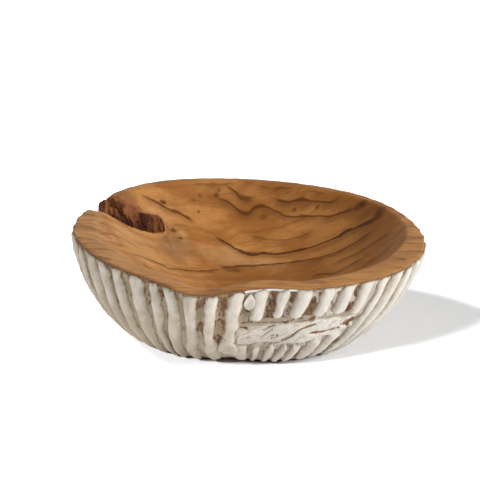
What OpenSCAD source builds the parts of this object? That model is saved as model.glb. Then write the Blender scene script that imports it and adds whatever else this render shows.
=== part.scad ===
// Hand-carved teak root bowl with white coated ribs, flat natural rim and a split at the back left.
// Millimetres, +Z up. The origin is the centre of the flat face that the bowl rests on.
// Angles run counter-clockwise seen from above: 0 is the right side, 90 the back, 270 the front.

/* [Bowl] */
// Mean radius of the rim, over the rib crests
rim_r = 170; // [140:1:210]
// Height from the resting face to the rim
bowl_h = 98; // [86:1:125]
// Mean radius of the flat resting face
base_r = 108; // [85:1:125]
// Thickness of the floor under the hollow
floor_t = 20; // [12:1:32]
// Width of the flat rim where it is narrowest, at the back
rim_w = 10.5; // [8:0.5:15]
// How much wider the flat rim is along the front
rim_w_more = 16; // [0:0.5:22]
// Easing of the rim's outer edge
edge_ease = 1.6; // [0.8:0.1:3]
// Softness of the rim's inner edge where it is crisp
lip_crisp = 3; // [1.5:0.5:5]
// Softness of the rim's inner edge at the front left, where it is rounded over
lip_soft = 14; // [6:1:18]
// How far the foot of the bowl sits to the left of the rim
foot_shift = 6.5; // [-4:0.5:10]

/* [Outline] */
// Height of the slow waves in the outline
wave = 8.5; // [0:0.5:12]
// How far the outline bulges out at the front left
bulge = 9; // [0:0.5:16]
// Direction of the bulge, in degrees
bulge_angle = 254.5; // [245:0.5:260]
// How far the rim dips along the bulge
rim_dip = 3.5; // [0:0.5:6]
// How far the outline is drawn in beside the bulge
hollow = 13; // [0:0.5:18]
// Direction of the drawn-in side, in degrees
hollow_angle = 277; // [270:1:285]

/* [Ribs] */
// Direction of the first rib, in degrees
rib_start_angle = 266.9; // [262:0.1:270]
// Depth of the grooves between the ribs
groove_d = 4.5; // [2:0.5:6]
// Lean of the rib feet at the front right, in degrees
rib_lean_angle = 5; // [0:1:12]
// How far the rib feet are pulled to the left along the bulge, in degrees
rib_pull_angle = 2.6; // [0:0.2:5]
// Wander of each rib along its height, in degrees
rib_wander_angle = 0.9; // [0:0.1:1.2]

/* [White coat] */
// Thickness of the white coat along a rib's crest
coat_t = 1.4; // [0.6:0.1:2]
// Clearance between the coat and the wood
coat_gap = 0.2; // [0.1:0.05:0.4]
// Height of the bare wood above the resting face, under the coat
coat_foot = 3; // [1.5:0.5:6]
// Height of the bare wood between the coat and the rim
coat_stop = 4; // [2:0.5:7]

/* [Root scar] */
// Direction of the middle of the scar, in degrees
scar_angle = 290.5; // [284:0.5:296]
// Half the angle that the scar spans, in degrees
scar_half_angle = 23; // [16:1:26]
// Height of the scar's lower edge
scar_low = 29; // [24:1:36]
// Height of the scar's upper edge
scar_high = 67; // [56:1:72]
// Width of the bare seam between the scar and the ribs
scar_seam = 3; // [2:0.5:4]
// How far the scar lies below the rib crests
scar_dish = 3.5; // [0:0.5:5]

/* [Natural split] */
// Direction of the split's mouth at the rim, in degrees
split_angle = 158.5; // [155:0.5:162]
// Direction in which the split runs into the bowl, in degrees
split_run_angle = 24; // [18:1:30]
// Width of the split's mouth
split_w = 27; // [16:0.5:32]
// Depth of the split below the rim
split_d = 40; // [28:1:44]
// Length of the split from the rim to its closed end
split_len = 79; // [60:1:90]
// Thickness of the bark that lines the split's back wall
bark_t = 4.5; // [2.5:0.5:6]
// Clearance between the bark and the wood
bark_gap = 0.2; // [0.1:0.05:0.4]

/* [Hidden] */

// Number of carved ribs around the bowl, each with its own coat
rib_count = 50;
full_angle = 360;
pitch_angle = full_angle / rib_count;

// The wall's side view runs from the foot to the rim on one curve: these two powers shape it
wall_curve = 1.6;
wall_swell = 0.74;
// The hollow's side view is a power of the way out: gentle on the left, steeper on the right
hollow_curve = 2.3;
hollow_steep = 0.35;

// Slow waves of the outline: direction, spread, share of the wave's height
wave_shares = [[345, 30, 0.7], [40, 25, 0.5], [75, 30, -0.52], [130, 22, 1], [190, 28, 0.45], [215, 25, -0.24],
    [300, 13, -0.44]];
bulge_spread_angle = 9;
hollow_spread_angle = 12;
dip_spread_angle = 11;

// The wide part of the rim: its direction, half its angle, and the angle over which it narrows
wide_angle = 263;
wide_half_angle = 70;
wide_fade_angle = 50;
// The soft part of the rim's inner edge, in the same way
soft_angle = 240;
soft_half_angle = 45;
soft_fade_angle = 40;

// Across one rib: a groove, then four lines over the crest, as shares of the pitch
across_shares = [0, 0.2, 0.4, 0.6, 0.8];
// How much of the groove's depth each of those lines takes, and of the coat's thickness
sink_shares = [1, 0.3, 0, 0, 0.3];
coat_shares = [0, 0.45, 1, 1, 0.45];
lines = len(across_shares);

// How far the carved crests lie from even spacing, as shares of the pitch: from the first rib to the
// right, and the last ribs before it
right_crest_shares = [0, 0.14, 0.14, -0.01, 0.19, 0.21, 0.24, 0.07, 0.04];
left_crest_shares = [0.04, 0.08, 0.32, 0.26, 0.1, 0.17, 0.01];
// How far the first ribs go on below the scar from where they stop above it, as shares of the pitch
low_crest_shares = [0.5, 0.36, 0.22, 0.12, -0.36];

// Where the ribs' feet lean most, and how far round that reaches
lean_angle = 330;
lean_spread_angle = 35;
pull_angle = 250;
pull_spread_angle = 22;

// Rows of the hollow, as shares of the way out from its middle to the rim's inner edge
hollow_shares = [0.2, 0.38, 0.54, 0.68, 0.8, 0.9, 0.96];
// The groove's depth at the foot and at the rim, as shares of its full depth
foot_share = 0.3;
rim_share = 0.4;
// What is left of the grooves inside the scar, and how much each of its edges draws in at its ends
scar_relief_share = 0.12;
scar_taper_share = 0.24;

// Steps for finding the wall's outward direction
step_angle = 0.5;
step_t = 0.01;

// ---- the wall ----
function turned(a) = (a % full_angle + 1.5 * full_angle) % full_angle - full_angle / 2;
function bell(x, spread) = exp(-pow(x / spread, 2));
function limit(x) = max(0, min(1, x));
function eased(x) = let(v = limit(x)) v * v * (3 - 2 * v);
function total(v) = [for (x = v) 1] * v;
function band(a, at, half, fade) = eased((half + fade - abs(turned(a - at))) / fade);
// A quiet, repeatable scatter between -1 and 1 for rib i
function scatter(i, seed) = sin(i * 137.5 + seed * 71.3 + 40 * sin(i * 61 + seed * 29));

function mean_r(t) = base_r + (rim_r - base_r) * pow(1 - pow(1 - t, wall_curve), wall_swell);
function waves(a) = total([for (w = wave_shares) w[2] * bell(turned(a - w[0]), w[1])]);
function outline_r(a, t) = mean_r(t) / rim_r * (
    rim_r + wave * waves(a)
    + bulge * limit((t - 0.25) / 0.6) * bell(turned(a - bulge_angle), bulge_spread_angle)
    - hollow * (0.35 + 0.65 * limit(t / 0.9)) * bell(turned(a - hollow_angle), hollow_spread_angle));
function rim_z(a) = bowl_h - rim_dip * bell(turned(a - bulge_angle), dip_spread_angle);
function wall(a, t) = let(r = outline_r(a, t))
    [r * cos(a) - foot_shift * (1 - t), r * sin(a), rim_z(a) * t];
function outward(a, t) = let(
    along = wall(a + step_angle, t) - wall(a - step_angle, t),
    up = wall(a, min(1, t + step_t)) - wall(a, max(0, t - step_t)),
    n = cross(along, up)) n / norm(n);

// ---- the ribs ----
function crest_share(m) = m < len(right_crest_shares) ? right_crest_shares[m]
    : m >= rib_count - len(left_crest_shares) ? left_crest_shares[m - rib_count + len(left_crest_shares)]
    : 0.08 * scatter(m, 1);
function low_share(m, t) = m < len(low_crest_shares) ? low_crest_shares[m] * limit((0.46 - t) / 0.16) : 0;
function crest_at(i, t) = let(m = (i + rib_count) % rib_count)
    rib_start_angle + (i + crest_share(m) + low_share(m, t)) * pitch_angle;
function drift(a, t) =
    -rib_lean_angle * (1 - t) * bell(turned(a - lean_angle), lean_spread_angle)
    - rib_pull_angle * limit((0.8 - t) / 0.6) * bell(turned(a - pull_angle), pull_spread_angle)
    + rib_wander_angle * sin(3 * a + 200 * t) * sin(180 * t);
// Line j of rib i: the groove lies halfway between two crests, and the other lines share what is left
function line_at(i, j, t) = let(
    s = across_shares[j] - 0.5, c = crest_at(i, t),
    a = c + abs(s) * (crest_at(s < 0 ? i - 1 : i + 1, t) - c))
    a + drift(a, t) + (j == 0 ? 0 : 0.4 * rib_wander_angle * scatter(i, 2) * sin(full_angle * t));

// The scar spans whole ribs, from the crest of the one that holds its left end
function rib_near(a) = round((a - rib_start_angle) / pitch_angle);
scar_first = rib_near(scar_angle - scar_half_angle);
scar_last = rib_near(scar_angle + scar_half_angle);
function in_scar(i) = let(k = i >= rib_count / 2 ? i - rib_count : i) k >= scar_first && k <= scar_last;

// Heights of the rows at direction a, as shares of the bowl's height
function edge_wave(a) = 0.2 * sin(5 * a) + 0.12 * sin(13 * a);
function rows_at(a) = let(
    wob = scar_seam / bowl_h * edge_wave(a),
    seam = scar_seam / bowl_h,
    taper = scar_taper_share * (scar_high - scar_low) / bowl_h
        * pow(min(1, abs(turned(a - scar_angle)) / scar_half_angle), 3),
    low = scar_low / bowl_h + wob + taper,
    high = scar_high / bowl_h + wob - taper,
    foot = coat_foot / bowl_h,
    stop = 1 - coat_stop / bowl_h,
    top = 1 - edge_ease / bowl_h)
    [0, foot, (foot + low - seam) / 2, low - seam, low, (low + high) / 2, high, high + seam,
     (high + seam + stop) / 2, stop, top];
foot_index = 1;
under_index = 3;
low_index = 4;
high_index = 6;
over_index = 7;
stop_index = 9;
top_index = 10;

function depth_share(t) = t < 0.2 ? foot_share + (1 - foot_share) * eased(t / 0.2)
    : t > 0.85 ? 1 - (1 - rim_share) * eased((t - 0.85) / 0.15) : 1;
function scar_share(i, k) = in_scar(i) && k >= low_index && k <= high_index ? scar_relief_share : 1;
function dish(i, k) = in_scar(i) && k >= low_index && k <= high_index ? scar_dish : 0;

// Depth of the wood under the smooth wall, on line j of rib i at row k
function sink(i, j, k, t) = groove_d * sink_shares[j] * depth_share(t) * scar_share(i, k)
    + dish(i, k);
// A point on rib i, line j, row k, lifted off the wood by h
function rib_point(i, j, k, h) = let(
    t = rows_at(line_at(i, j, 0.5))[k], a = line_at(i, j, t))
    wall(a, t) + (h - sink(i, j, k, t)) * outward(a, t);

// ---- the hollow ----
function rim_width(a) = rim_w + rim_w_more * band(a, wide_angle, wide_half_angle, wide_fade_angle);
function lip(a) = lip_crisp + (lip_soft - lip_crisp) * band(a, soft_angle, soft_half_angle, soft_fade_angle);
function inner_r(a) = outline_r(a, 1) - rim_width(a);
function soft_min(a, b, k) = min(a, b) - pow(max(0, k - abs(a - b)), 2) / (4 * k);
function hollow_z(a, s) = soft_min(
    floor_t + (rim_z(a) - floor_t) * pow(s, hollow_curve + hollow_steep * cos(a)), rim_z(a), lip(a));
function hollow_point(a, s) = [s * inner_r(a) * cos(a), s * inner_r(a) * sin(a), hollow_z(a, s)];
function lip_point(a) = let(r = inner_r(a) + 0.6 * lip(a)) [r * cos(a), r * sin(a), rim_z(a)];

// ---- solids from grids of points ----
// Faces between two rings of n points that start at p and q, seen from outside; p is the lower ring
function ring_faces(p, q, n) = [for (j = [0:n - 1]) let(m = (j + 1) % n)
    each [[p + j, q + j, q + m], [p + j, q + m, p + m]]];
function flipped(faces) = [for (f = faces) [f[0], f[2], f[1]]];
// Faces of an open sheet of rows and columns whose first point is p
function sheet_faces(p, rows, cols) = [for (k = [0:rows - 2], j = [0:cols - 2])
    let(a = p + k * cols + j, b = a + 1, d = a + cols, c = d + 1) each [[a, d, c], [a, c, b]]];
// Faces along the open edge between two sheets of the same size; loop lists the edge's points
function edge_faces(loop, shift) = let(n = len(loop)) [for (j = [0:n - 1])
    let(a = loop[j], b = loop[(j + 1) % n]) each [[a, b, b + shift], [a, b + shift, a + shift]]];
function edge_loop(rows, cols) = concat(
    [for (j = [0:cols - 2]) j],
    [for (k = [0:rows - 2]) k * cols + cols - 1],
    [for (j = [cols - 1:-1:1]) (rows - 1) * cols + j],
    [for (k = [rows - 1:-1:1]) k * cols]);

// A thin closed skin between an inner and an outer sheet, each a list of rows
module skin(inner, outer) {
    rows = len(inner);
    cols = len(inner[0]);
    count = rows * cols;
    polyhedron(
        points = concat([for (r = inner) each r], [for (r = outer) each r]),
        faces = concat(
            flipped(sheet_faces(0, rows, cols)),
            sheet_faces(count, rows, cols),
            flipped(edge_faces(edge_loop(rows, cols), count))));
}

// ---- the wooden bowl ----
columns = rib_count * lines;
// Two columns of the hollow stand behind each rib, at these lines
half_line_index = 3;
inner_columns = 2 * rib_count;
function column_of(m) = floor(m / 2) * lines + (m % 2) * half_line_index;
function column_angle(c, t) = line_at(floor(c / lines), c % lines, t);

module bowl_solid() {
    outer_rows = [for (k = [0:top_index]) [for (c = [0:columns - 1])
        rib_point(floor(c / lines), c % lines, k, 0)]];
    // The rim's outer edge, drawn in and up by the easing
    rim_ring = [for (c = [0:columns - 1]) let(
        a = column_angle(c, 1), p = outer_rows[top_index][c], r = norm([p[0], p[1]]))
        [p[0] * (r - edge_ease) / r, p[1] * (r - edge_ease) / r, rim_z(a)]];
    inner_at = [for (m = [0:inner_columns - 1]) column_angle(column_of(m), 1)];
    lip_ring = [for (a = inner_at) lip_point(a)];
    edge_ring = [for (a = inner_at) hollow_point(a, 1)];
    hollow_rings = [for (h = [len(hollow_shares) - 1:-1:0])
        [for (a = inner_at) hollow_point(a, hollow_shares[h])]];
    inner_rings = concat([lip_ring, edge_ring], hollow_rings);
    first_inner = columns * (top_index + 2);
    last_inner = first_inner + inner_columns * (len(inner_rings) - 1);
    floor_middle = last_inner + inner_columns;
    base_middle = floor_middle + 1;
    rim_p = columns * (top_index + 1);
    polyhedron(
        points = concat(
            [for (r = outer_rows) each r], rim_ring, [for (r = inner_rings) each r],
            [[0, 0, floor_t]], [[-foot_shift, 0, 0]]),
        faces = concat(
            [for (k = [0:top_index]) each ring_faces(columns * k, columns * (k + 1), columns)],
            [for (m = [0:inner_columns - 1]) let(
                c0 = column_of(m),
                c1 = m == inner_columns - 1 ? columns : column_of(m + 1),
                p = first_inner + m, q = first_inner + (m + 1) % inner_columns) each concat(
                    [for (c = [c0:c1 - 1]) [rim_p + c, p, rim_p + (c + 1) % columns]],
                    [[rim_p + c1 % columns, p, q]])],
            [for (h = [0:len(inner_rings) - 2]) each
                ring_faces(first_inner + inner_columns * h, first_inner + inner_columns * (h + 1),
                    inner_columns)],
            [for (m = [0:inner_columns - 1])
                [last_inner + m, floor_middle, last_inner + (m + 1) % inner_columns]],
            [for (c = [0:columns - 1]) [c, (c + 1) % columns, base_middle]]));
}

// ---- the natural split ----
split_bottom = bowl_h - split_d;
mouth_r = outline_r(split_angle, 1);
// Along the split: share of its length, then how far the back wall and the front wall lie from its
// middle line, as shares of the mouth's width
split_shares = [[-0.4, 1, 0.72], [0, 0.9, 0.52], [0.24, 0.78, 0.54], [0.34, 0.56, 0.58], [0.45, 0.39, 0.62],
    [0.62, 0.31, 0.6], [0.8, 0.4, 0.5], [0.94, 0.42, 0.36], [1, 0.3, 0.16]];
// The split closes downwards: what is left of its width at the bottom
split_floor_share = 0.42;
back = 1;
front = 2;
// A point on one wall of the split, w from split_shares, drawn in by inset
function split_point(w, side, width_share, z, inset) = let(
    x = w[0] * split_len,
    y = (side == back ? 1 : -1) * (w[side] * split_w * width_share - inset))
    [mouth_r * cos(split_angle) + x * cos(split_run_angle) - y * sin(split_run_angle),
     mouth_r * sin(split_angle) + x * sin(split_run_angle) + y * cos(split_run_angle), z];
function split_ring(width_share, z, grow) = concat(
    [for (w = split_shares) split_point(w, front, width_share, z, -grow)],
    [for (n = [len(split_shares) - 1:-1:0]) split_point(split_shares[n], back, width_share, z, -grow)]);

// A solid with one ring of points above another. Each ring runs out along one side and back along
// the other, so its first and last points face each other, and strips between them close the ends
module prism_between(rings) {
    n = len(rings[0]);
    top = n * (len(rings) - 1);
    strip = [for (j = [0:n / 2 - 2]) each [[j, j + 1, n - 2 - j], [j, n - 2 - j, n - 1 - j]]];
    polyhedron(
        points = [for (r = rings) each r],
        faces = concat(
            [for (k = [0:len(rings) - 2]) each ring_faces(n * k, n * (k + 1), n)],
            strip, flipped([for (f = strip) [for (v = f) v + top]])));
}

module split_cut(grow) {
    prism_between([
        split_ring(split_floor_share, split_bottom - grow, grow),
        split_ring(1, bowl_h, grow),
        split_ring(1, bowl_h + split_w, grow)]);
}

module teak_body() {
    color("sienna") difference() {
        bowl_solid();
        split_cut(0);
    }
}

// Bark left in the split: it lines the back wall, and its top follows the bowl's own surface
function bark_ring(width_share, z) = let(wall_of = [for (n = [1:len(split_shares) - 2]) split_shares[n]])
    concat(
        [for (w = wall_of) split_point(w, back, width_share, z, bark_t)],
        [for (n = [len(wall_of) - 1:-1:0]) split_point(wall_of[n], back, width_share, z, bark_gap)]);
module bark_inclusion() {
    color("#3b1f16") intersection() {
        bowl_solid();
        prism_between([
            bark_ring(split_floor_share, split_bottom + bark_gap),
            bark_ring(1, bowl_h),
            bark_ring(1, bowl_h + split_w)]);
    }
}

// ---- the white coat ----
// The coat on rib i from row k0 to row k1; it thins towards its long edges and its ends
module coat_strip(i, k0, k1) {
    skin(
        [for (k = [k0:k1]) [for (j = [1:lines - 1]) rib_point(i, j, k, coat_gap)]],
        [for (k = [k0:k1]) [for (j = [1:lines - 1]) rib_point(i, j, k, coat_gap + coat_t
            * coat_shares[j] * (k == k0 || k == k1 ? 0.6 : 1) * (1 + 0.2 * scatter(i + j, k)))]]);
}

function at_mouth(i) = abs(turned(crest_at(i, 1) - split_angle)) < 2 * pitch_angle;

module rib_coat(i) {
    color("ivory") difference() {
        union() {
            if (in_scar(i)) {
                coat_strip(i, foot_index, under_index);
                coat_strip(i, over_index, stop_index);
            } else {
                coat_strip(i, foot_index, stop_index);
            }
        }
        if (at_mouth(i)) split_cut(coat_gap);
    }
}

// The scar's coat lies in flaky steps: its thickness rises and falls along slanting layers
function flake(i, j, k) = 1 + 0.5 * scatter(2 * i + j, k) * (k == low_index || k == high_index ? 0.3 : 1);
module scar_coat() {
    spots = [for (i = [scar_first:scar_last], j = [0:lines - 1]) if (i > scar_first || j > 1) [i, j]];
    color("floralwhite") skin(
        [for (k = [low_index:high_index]) [for (s = spots)
            rib_point((s[0] + rib_count) % rib_count, s[1], k, coat_gap)]],
        [for (k = [low_index:high_index]) [for (s = spots)
            rib_point((s[0] + rib_count) % rib_count, s[1], k, coat_gap + coat_t * flake(s[0], s[1], k))]]);
}

teak_body();
bark_inclusion();
scar_coat();
rib_coat(0);  // rib_coat_01
rib_coat(1);  // rib_coat_02
rib_coat(2);  // rib_coat_03
rib_coat(3);  // rib_coat_04
rib_coat(4);  // rib_coat_05
rib_coat(5);  // rib_coat_06
rib_coat(6);  // rib_coat_07
rib_coat(7);  // rib_coat_08
rib_coat(8);  // rib_coat_09
rib_coat(9);  // rib_coat_10
rib_coat(10);  // rib_coat_11
rib_coat(11);  // rib_coat_12
rib_coat(12);  // rib_coat_13
rib_coat(13);  // rib_coat_14
rib_coat(14);  // rib_coat_15
rib_coat(15);  // rib_coat_16
rib_coat(16);  // rib_coat_17
rib_coat(17);  // rib_coat_18
rib_coat(18);  // rib_coat_19
rib_coat(19);  // rib_coat_20
rib_coat(20);  // rib_coat_21
rib_coat(21);  // rib_coat_22
rib_coat(22);  // rib_coat_23
rib_coat(23);  // rib_coat_24
rib_coat(24);  // rib_coat_25
rib_coat(25);  // rib_coat_26
rib_coat(26);  // rib_coat_27
rib_coat(27);  // rib_coat_28
rib_coat(28);  // rib_coat_29
rib_coat(29);  // rib_coat_30
rib_coat(30);  // rib_coat_31
rib_coat(31);  // rib_coat_32
rib_coat(32);  // rib_coat_33
rib_coat(33);  // rib_coat_34
rib_coat(34);  // rib_coat_35
rib_coat(35);  // rib_coat_36
rib_coat(36);  // rib_coat_37
rib_coat(37);  // rib_coat_38
rib_coat(38);  // rib_coat_39
rib_coat(39);  // rib_coat_40
rib_coat(40);  // rib_coat_41
rib_coat(41);  // rib_coat_42
rib_coat(42);  // rib_coat_43
rib_coat(43);  // rib_coat_44
rib_coat(44);  // rib_coat_45
rib_coat(45);  // rib_coat_46
rib_coat(46);  // rib_coat_47
rib_coat(47);  // rib_coat_48
rib_coat(48);  // rib_coat_49
rib_coat(49);  // rib_coat_50
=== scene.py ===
"""A hand-carved root bowl: bare wooden hollow and rim, white coated ribs outside, a split at the rim."""

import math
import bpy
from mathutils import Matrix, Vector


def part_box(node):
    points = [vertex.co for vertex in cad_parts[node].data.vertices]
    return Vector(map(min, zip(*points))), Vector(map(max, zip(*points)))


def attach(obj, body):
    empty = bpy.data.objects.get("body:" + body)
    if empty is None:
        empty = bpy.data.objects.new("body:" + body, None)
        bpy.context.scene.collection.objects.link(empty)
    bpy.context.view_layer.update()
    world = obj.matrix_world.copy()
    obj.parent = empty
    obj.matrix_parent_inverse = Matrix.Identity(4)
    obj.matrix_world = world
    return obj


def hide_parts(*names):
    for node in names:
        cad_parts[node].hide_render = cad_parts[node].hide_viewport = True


bl_info = {
    "name": "Carved root bowl",
    "version": (1, 0, 0),
    "blender": (4, 5, 0),
    "location": "View3D > Sidebar > Bowl",
    "description": "Makes a carved root-wood bowl with white coated ribs, its split and its photo stage",
    "category": "Object",
}

import bmesh
import bpy
import numpy as np
from bpy.props import FloatProperty, FloatVectorProperty, IntProperty, PointerProperty
from mathutils import Matrix, Vector
from mathutils.kdtree import KDTree

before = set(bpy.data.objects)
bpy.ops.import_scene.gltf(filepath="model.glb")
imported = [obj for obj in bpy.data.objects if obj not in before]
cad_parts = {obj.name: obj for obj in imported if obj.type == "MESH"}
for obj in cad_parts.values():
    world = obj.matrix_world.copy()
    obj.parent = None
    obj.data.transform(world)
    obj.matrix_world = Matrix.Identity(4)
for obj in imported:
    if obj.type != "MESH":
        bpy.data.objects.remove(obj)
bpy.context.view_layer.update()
BOWL_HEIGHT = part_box("teak_body")[1][2]
BODY = "root"
FULL = 360.0
# Points closer than this are merged
MERGE = 1e-6


# Sizes and colours
def number(name, text, value, **more):
    return FloatProperty(name=name, description=text, default=value, **more)


def length(name, text, value):
    return number(name, text, value, min=0.0, unit="LENGTH", precision=4)


def degrees(name, text, value):
    return number(name, text, value, soft_min=-FULL, soft_max=FULL)


def colour(name, text, red, green, blue):
    return FloatVectorProperty(name=name, description=text, default=(red, green, blue), size=3, min=0, max=1,
                               subtype="COLOR")


class BowlSizes(bpy.types.PropertyGroup):
    """The wooden bowl's own sizes"""

    rim_radius: length("Rim radius", "Mean radius of the rim over the rib crests", 0.170)
    height: length("Height", "Height of the rim above the resting face", BOWL_HEIGHT)
    foot_radius: length("Foot radius", "Mean radius of the flat resting face", 0.108)
    foot_shift: length("Foot shift", "How far the foot sits to the left of the rim", 0.0065)
    floor: length("Floor", "Thickness of the floor under the hollow", 0.020)
    rim_width: length("Rim width", "Width of the flat rim at the back", 0.0105)
    rim_more: length("Rim extra", "How much wider the rim is along the front", 0.016)
    edge: length("Rim edge", "Easing of the rim's outer edge", 0.0016)
    lip_crisp: length("Crisp lip", "Softness of the inner edge where it is crisp", 0.003)
    lip_soft: length("Soft lip", "Softness of the inner edge at the front left", 0.014)
    wave: length("Wave", "Height of the slow waves in the outline", 0.0085)
    bulge: length("Bulge", "How far the outline bulges at the front left", 0.009)
    dip: length("Dip", "How far the rim dips along the bulge", 0.0035)
    toe: length("Foot draw-in", "How far the foot's front edge is drawn in", 0.0125)
    foot_edge: length("Foot edge", "Height of the upright sawn edge round the foot", 0.0018)
    hollow: length("Draw-in", "How far the front is drawn in beside the bulge", 0.013)


class RibSizes(bpy.types.PropertyGroup):
    """The carved ribs and their white coat"""

    count: IntProperty(name="Ribs", description="Number of ribs round the bowl", default=50, min=44, max=56)
    start: degrees("First rib", "Direction of the first rib", 266.9)
    groove: length("Groove depth", "Depth of the grooves between the ribs", 0.0050)
    lean: degrees("Lean", "Lean of the rib feet at the front right", 5.0)
    pull: degrees("Pull", "How far the rib feet are pulled to the left along the bulge", 2.6)
    wander: degrees("Wander", "Wander of each rib along its height", 0.9)
    coat: length("Coat", "Thickness of the white coat along a crest", 0.0022)
    gap: length("Coat clearance", "Clearance between the coat and the wood", 0.00012)
    bare_foot: length("Bare foot", "Height of the bare wood under the coat", 0.0025)
    bare_rim: length("Bare rim", "Height of the bare wood above the coat", 0.0007)
    share: number("Coat width", "Share of a rib's pitch that the coat covers", 0.70, min=0.4, max=0.9)


class ScarSizes(bpy.types.PropertyGroup):
    """The flaky root scar at the front right"""

    angle: degrees("Direction", "Direction of the scar's middle", 290.5)
    half: degrees("Half angle", "Half the angle that the scar spans", 23.0)
    low: length("Lower edge", "Height of the scar's lower edge", 0.029)
    high: length("Upper edge", "Height of the scar's upper edge", 0.067)
    dish: length("Dish", "How far the scar lies below the rib crests", 0.0042)
    flake: length("Flake", "Thickness of one flaky layer of the coat", 0.0016)


class SplitSizes(bpy.types.PropertyGroup):
    """The natural split at the back left and the bark in it"""

    angle: degrees("Mouth", "Direction of the split's mouth", 158.5)
    run: degrees("Run", "Direction in which the split runs into the bowl", 24.0)
    width: length("Width", "Width of the split's mouth", 0.027)
    depth: length("Depth", "Depth of the split below the rim", 0.040)
    length: length("Length", "Length of the split from the rim to its closed end", 0.079)
    bark: length("Bark", "Thickness of the bark on the back wall", 0.0045)


class Finishes(bpy.types.PropertyGroup):
    """Colours of the wood, the coat and the bark"""

    honey: colour("Honey wood", "The lightest wood, in linear colour", 0.80, 0.365, 0.108)
    # sap also paints the light on the hollow's left slope
    sap: colour("Sapwood", "Pale wood on the left slope", 0.84, 0.47, 0.20)
    teak: colour("Teak", "The common wood colour", 0.52, 0.210, 0.050)
    # umber also paints the shade on the hollow's right wall
    umber: colour("Umber", "The darkest bands of sound wood", 0.27, 0.102, 0.024)
    line: colour("Growth line", "Dark growth lines and knots", 0.105, 0.033, 0.006)
    raw: colour("Raw wood", "Rough wood in the grooves", 0.25, 0.130, 0.064)
    raw_dark: colour("Dark raw wood", "Shaded rough wood in the grooves", 0.155, 0.080, 0.040)
    redwood: colour("Red wood", "Reddish heartwood stains", 0.22, 0.068, 0.020)
    # residue also paints the shade on the ribs' flanks
    residue: colour("Residue", "Thin, dirty white left in the grooves", 0.40, 0.325, 0.225)
    grey: colour("Grey stain", "Greyish stain beside the split", 0.30, 0.185, 0.095)
    coat: colour("Coat", "The white coat", 0.89, 0.86, 0.80)
    # coat_shade also serves as the painted shade on the coat
    coat_shade: colour("Coat shade", "The coat where it is thin or dirty", 0.54, 0.468, 0.360)
    # bark also paints the contact shadow along the foot
    bark: colour("Bark", "The dark bark", 0.060, 0.015, 0.007)
    bark_light: colour("Bark light", "Scuffed ridges of the bark", 0.37, 0.150, 0.056)


class StageSettings(bpy.types.PropertyGroup):
    """The floor, the lights and the camera"""

    key: number("Key light", "Power of the soft key light", 75.0, min=0, unit="POWER")
    side: number("Side light", "Power of the low light on the left", 3.5, min=0, unit="POWER")
    sky: number("Sky", "Strength of the surrounding light", 0.165, min=0)
    cast: number("Floor lights", "Strength of each light that shines on the floor alone", 5.6, min=0)
    floor: colour("Floor", "Colour of the floor", 0.70, 0.71, 0.73)
    floor_dim: colour("Floor bounce", "Colour of the floor for the light it throws back", 0.385, 0.375, 0.37)
    lens: number("Lens", "Focal length of the camera, in millimetres", 112.5, min=1)


# Quiet, repeatable scatter
def turned(a):
    """Angle a in degrees, brought to -180..180."""
    return (np.asarray(a, float) + 180.0) % FULL - 180.0


def bell(x, spread):
    return np.exp(-np.square(x / spread))


def hump(a, middle, spread):
    """1 at the direction middle, falling away over spread degrees."""
    return bell(turned(a - middle), spread)


def eased(x):
    v = np.clip(x, 0.0, 1.0)
    return v * v * (3.0 - 2.0 * v)


def band(a, middle, half, fade):
    """1 within half degrees of the direction middle, fading to 0 over fade degrees."""
    return eased((half + fade - np.abs(turned(a - middle))) / fade)


def stack(*parts):
    """Points from their coordinates; a plain number stands for the same coordinate everywhere."""
    return np.stack(np.broadcast_arrays(*parts), -1)


def direction(points):
    """Direction (0..360 degrees) and radius of points in plan."""
    x, y = points[..., 0], points[..., 1]
    return np.degrees(np.arctan2(y, x)) % FULL, np.hypot(x, y)


def scatter(i, seed):
    """A repeatable number in -1..1 for rib i."""
    i = np.asarray(i, float)
    return np.sin(np.radians(i * 137.5 + seed * 71.3 + 40.0 * np.sin(np.radians(i * 61.0 + seed * 29.0))))


def lattice(x, y, z, seed):
    """A repeatable number in 0..1 for each whole-number point."""
    h = (x.astype(np.int64) * 374761393 + y.astype(np.int64) * 668265263 + z.astype(np.int64) * 1274126177
         + seed * 362437) & 0xFFFFFFFF
    h = ((h ^ (h >> 13)) * 1103515245) & 0xFFFFFFFF
    h = ((h ^ (h >> 16)) * 69069) & 0xFFFFFFFF
    return ((h ^ (h >> 15)) & 0xFFFFFF) / float(0xFFFFFF)


def lumps(points, size, seed, octaves=2):
    """Smooth noise in -1..1 at points, with lumps of the given size; size may have one value per axis."""
    p = np.asarray(points, float) / np.asarray(size, float)
    out, weight, total = np.zeros(p.shape[:-1]), 1.0, 0.0
    for octave in range(octaves):
        cell = np.floor(p)
        f = eased(p - cell)
        value = np.zeros(p.shape[:-1])
        for dx, dy, dz in np.ndindex(2, 2, 2):
            corner = lattice(cell[..., 0] + dx, cell[..., 1] + dy, cell[..., 2] + dz, seed + 17 * octave)
            part = (f[..., 0] if dx else 1 - f[..., 0]) * (f[..., 1] if dy else 1 - f[..., 1])
            value = value + corner * part * (f[..., 2] if dz else 1 - f[..., 2])
        out += weight * (2.0 * value - 1.0)
        total += weight
        weight *= 0.5
        p = p * 2.03
    return out / total


# The shape that every piece follows, in metres and degrees: 0 is the right side, 90 the back, 270 the front
WALL_CURVE, WALL_SWELL = 1.6, 0.74
HOLLOW_CURVE, HOLLOW_STEEP = 2.3, 0.35
# Directions of the bulge, of the drawn-in side beside it and of the foot's drawn-in edge
BULGE_AT, DRAW_AT, TOE_AT = 254.5, 277.0, 266.0
# The wide part of the rim and the soft part of its inner edge: direction, half angle, fade
WIDE_RIM, SOFT_LIP = (263, 70, 50), (240, 45, 40)
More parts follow.
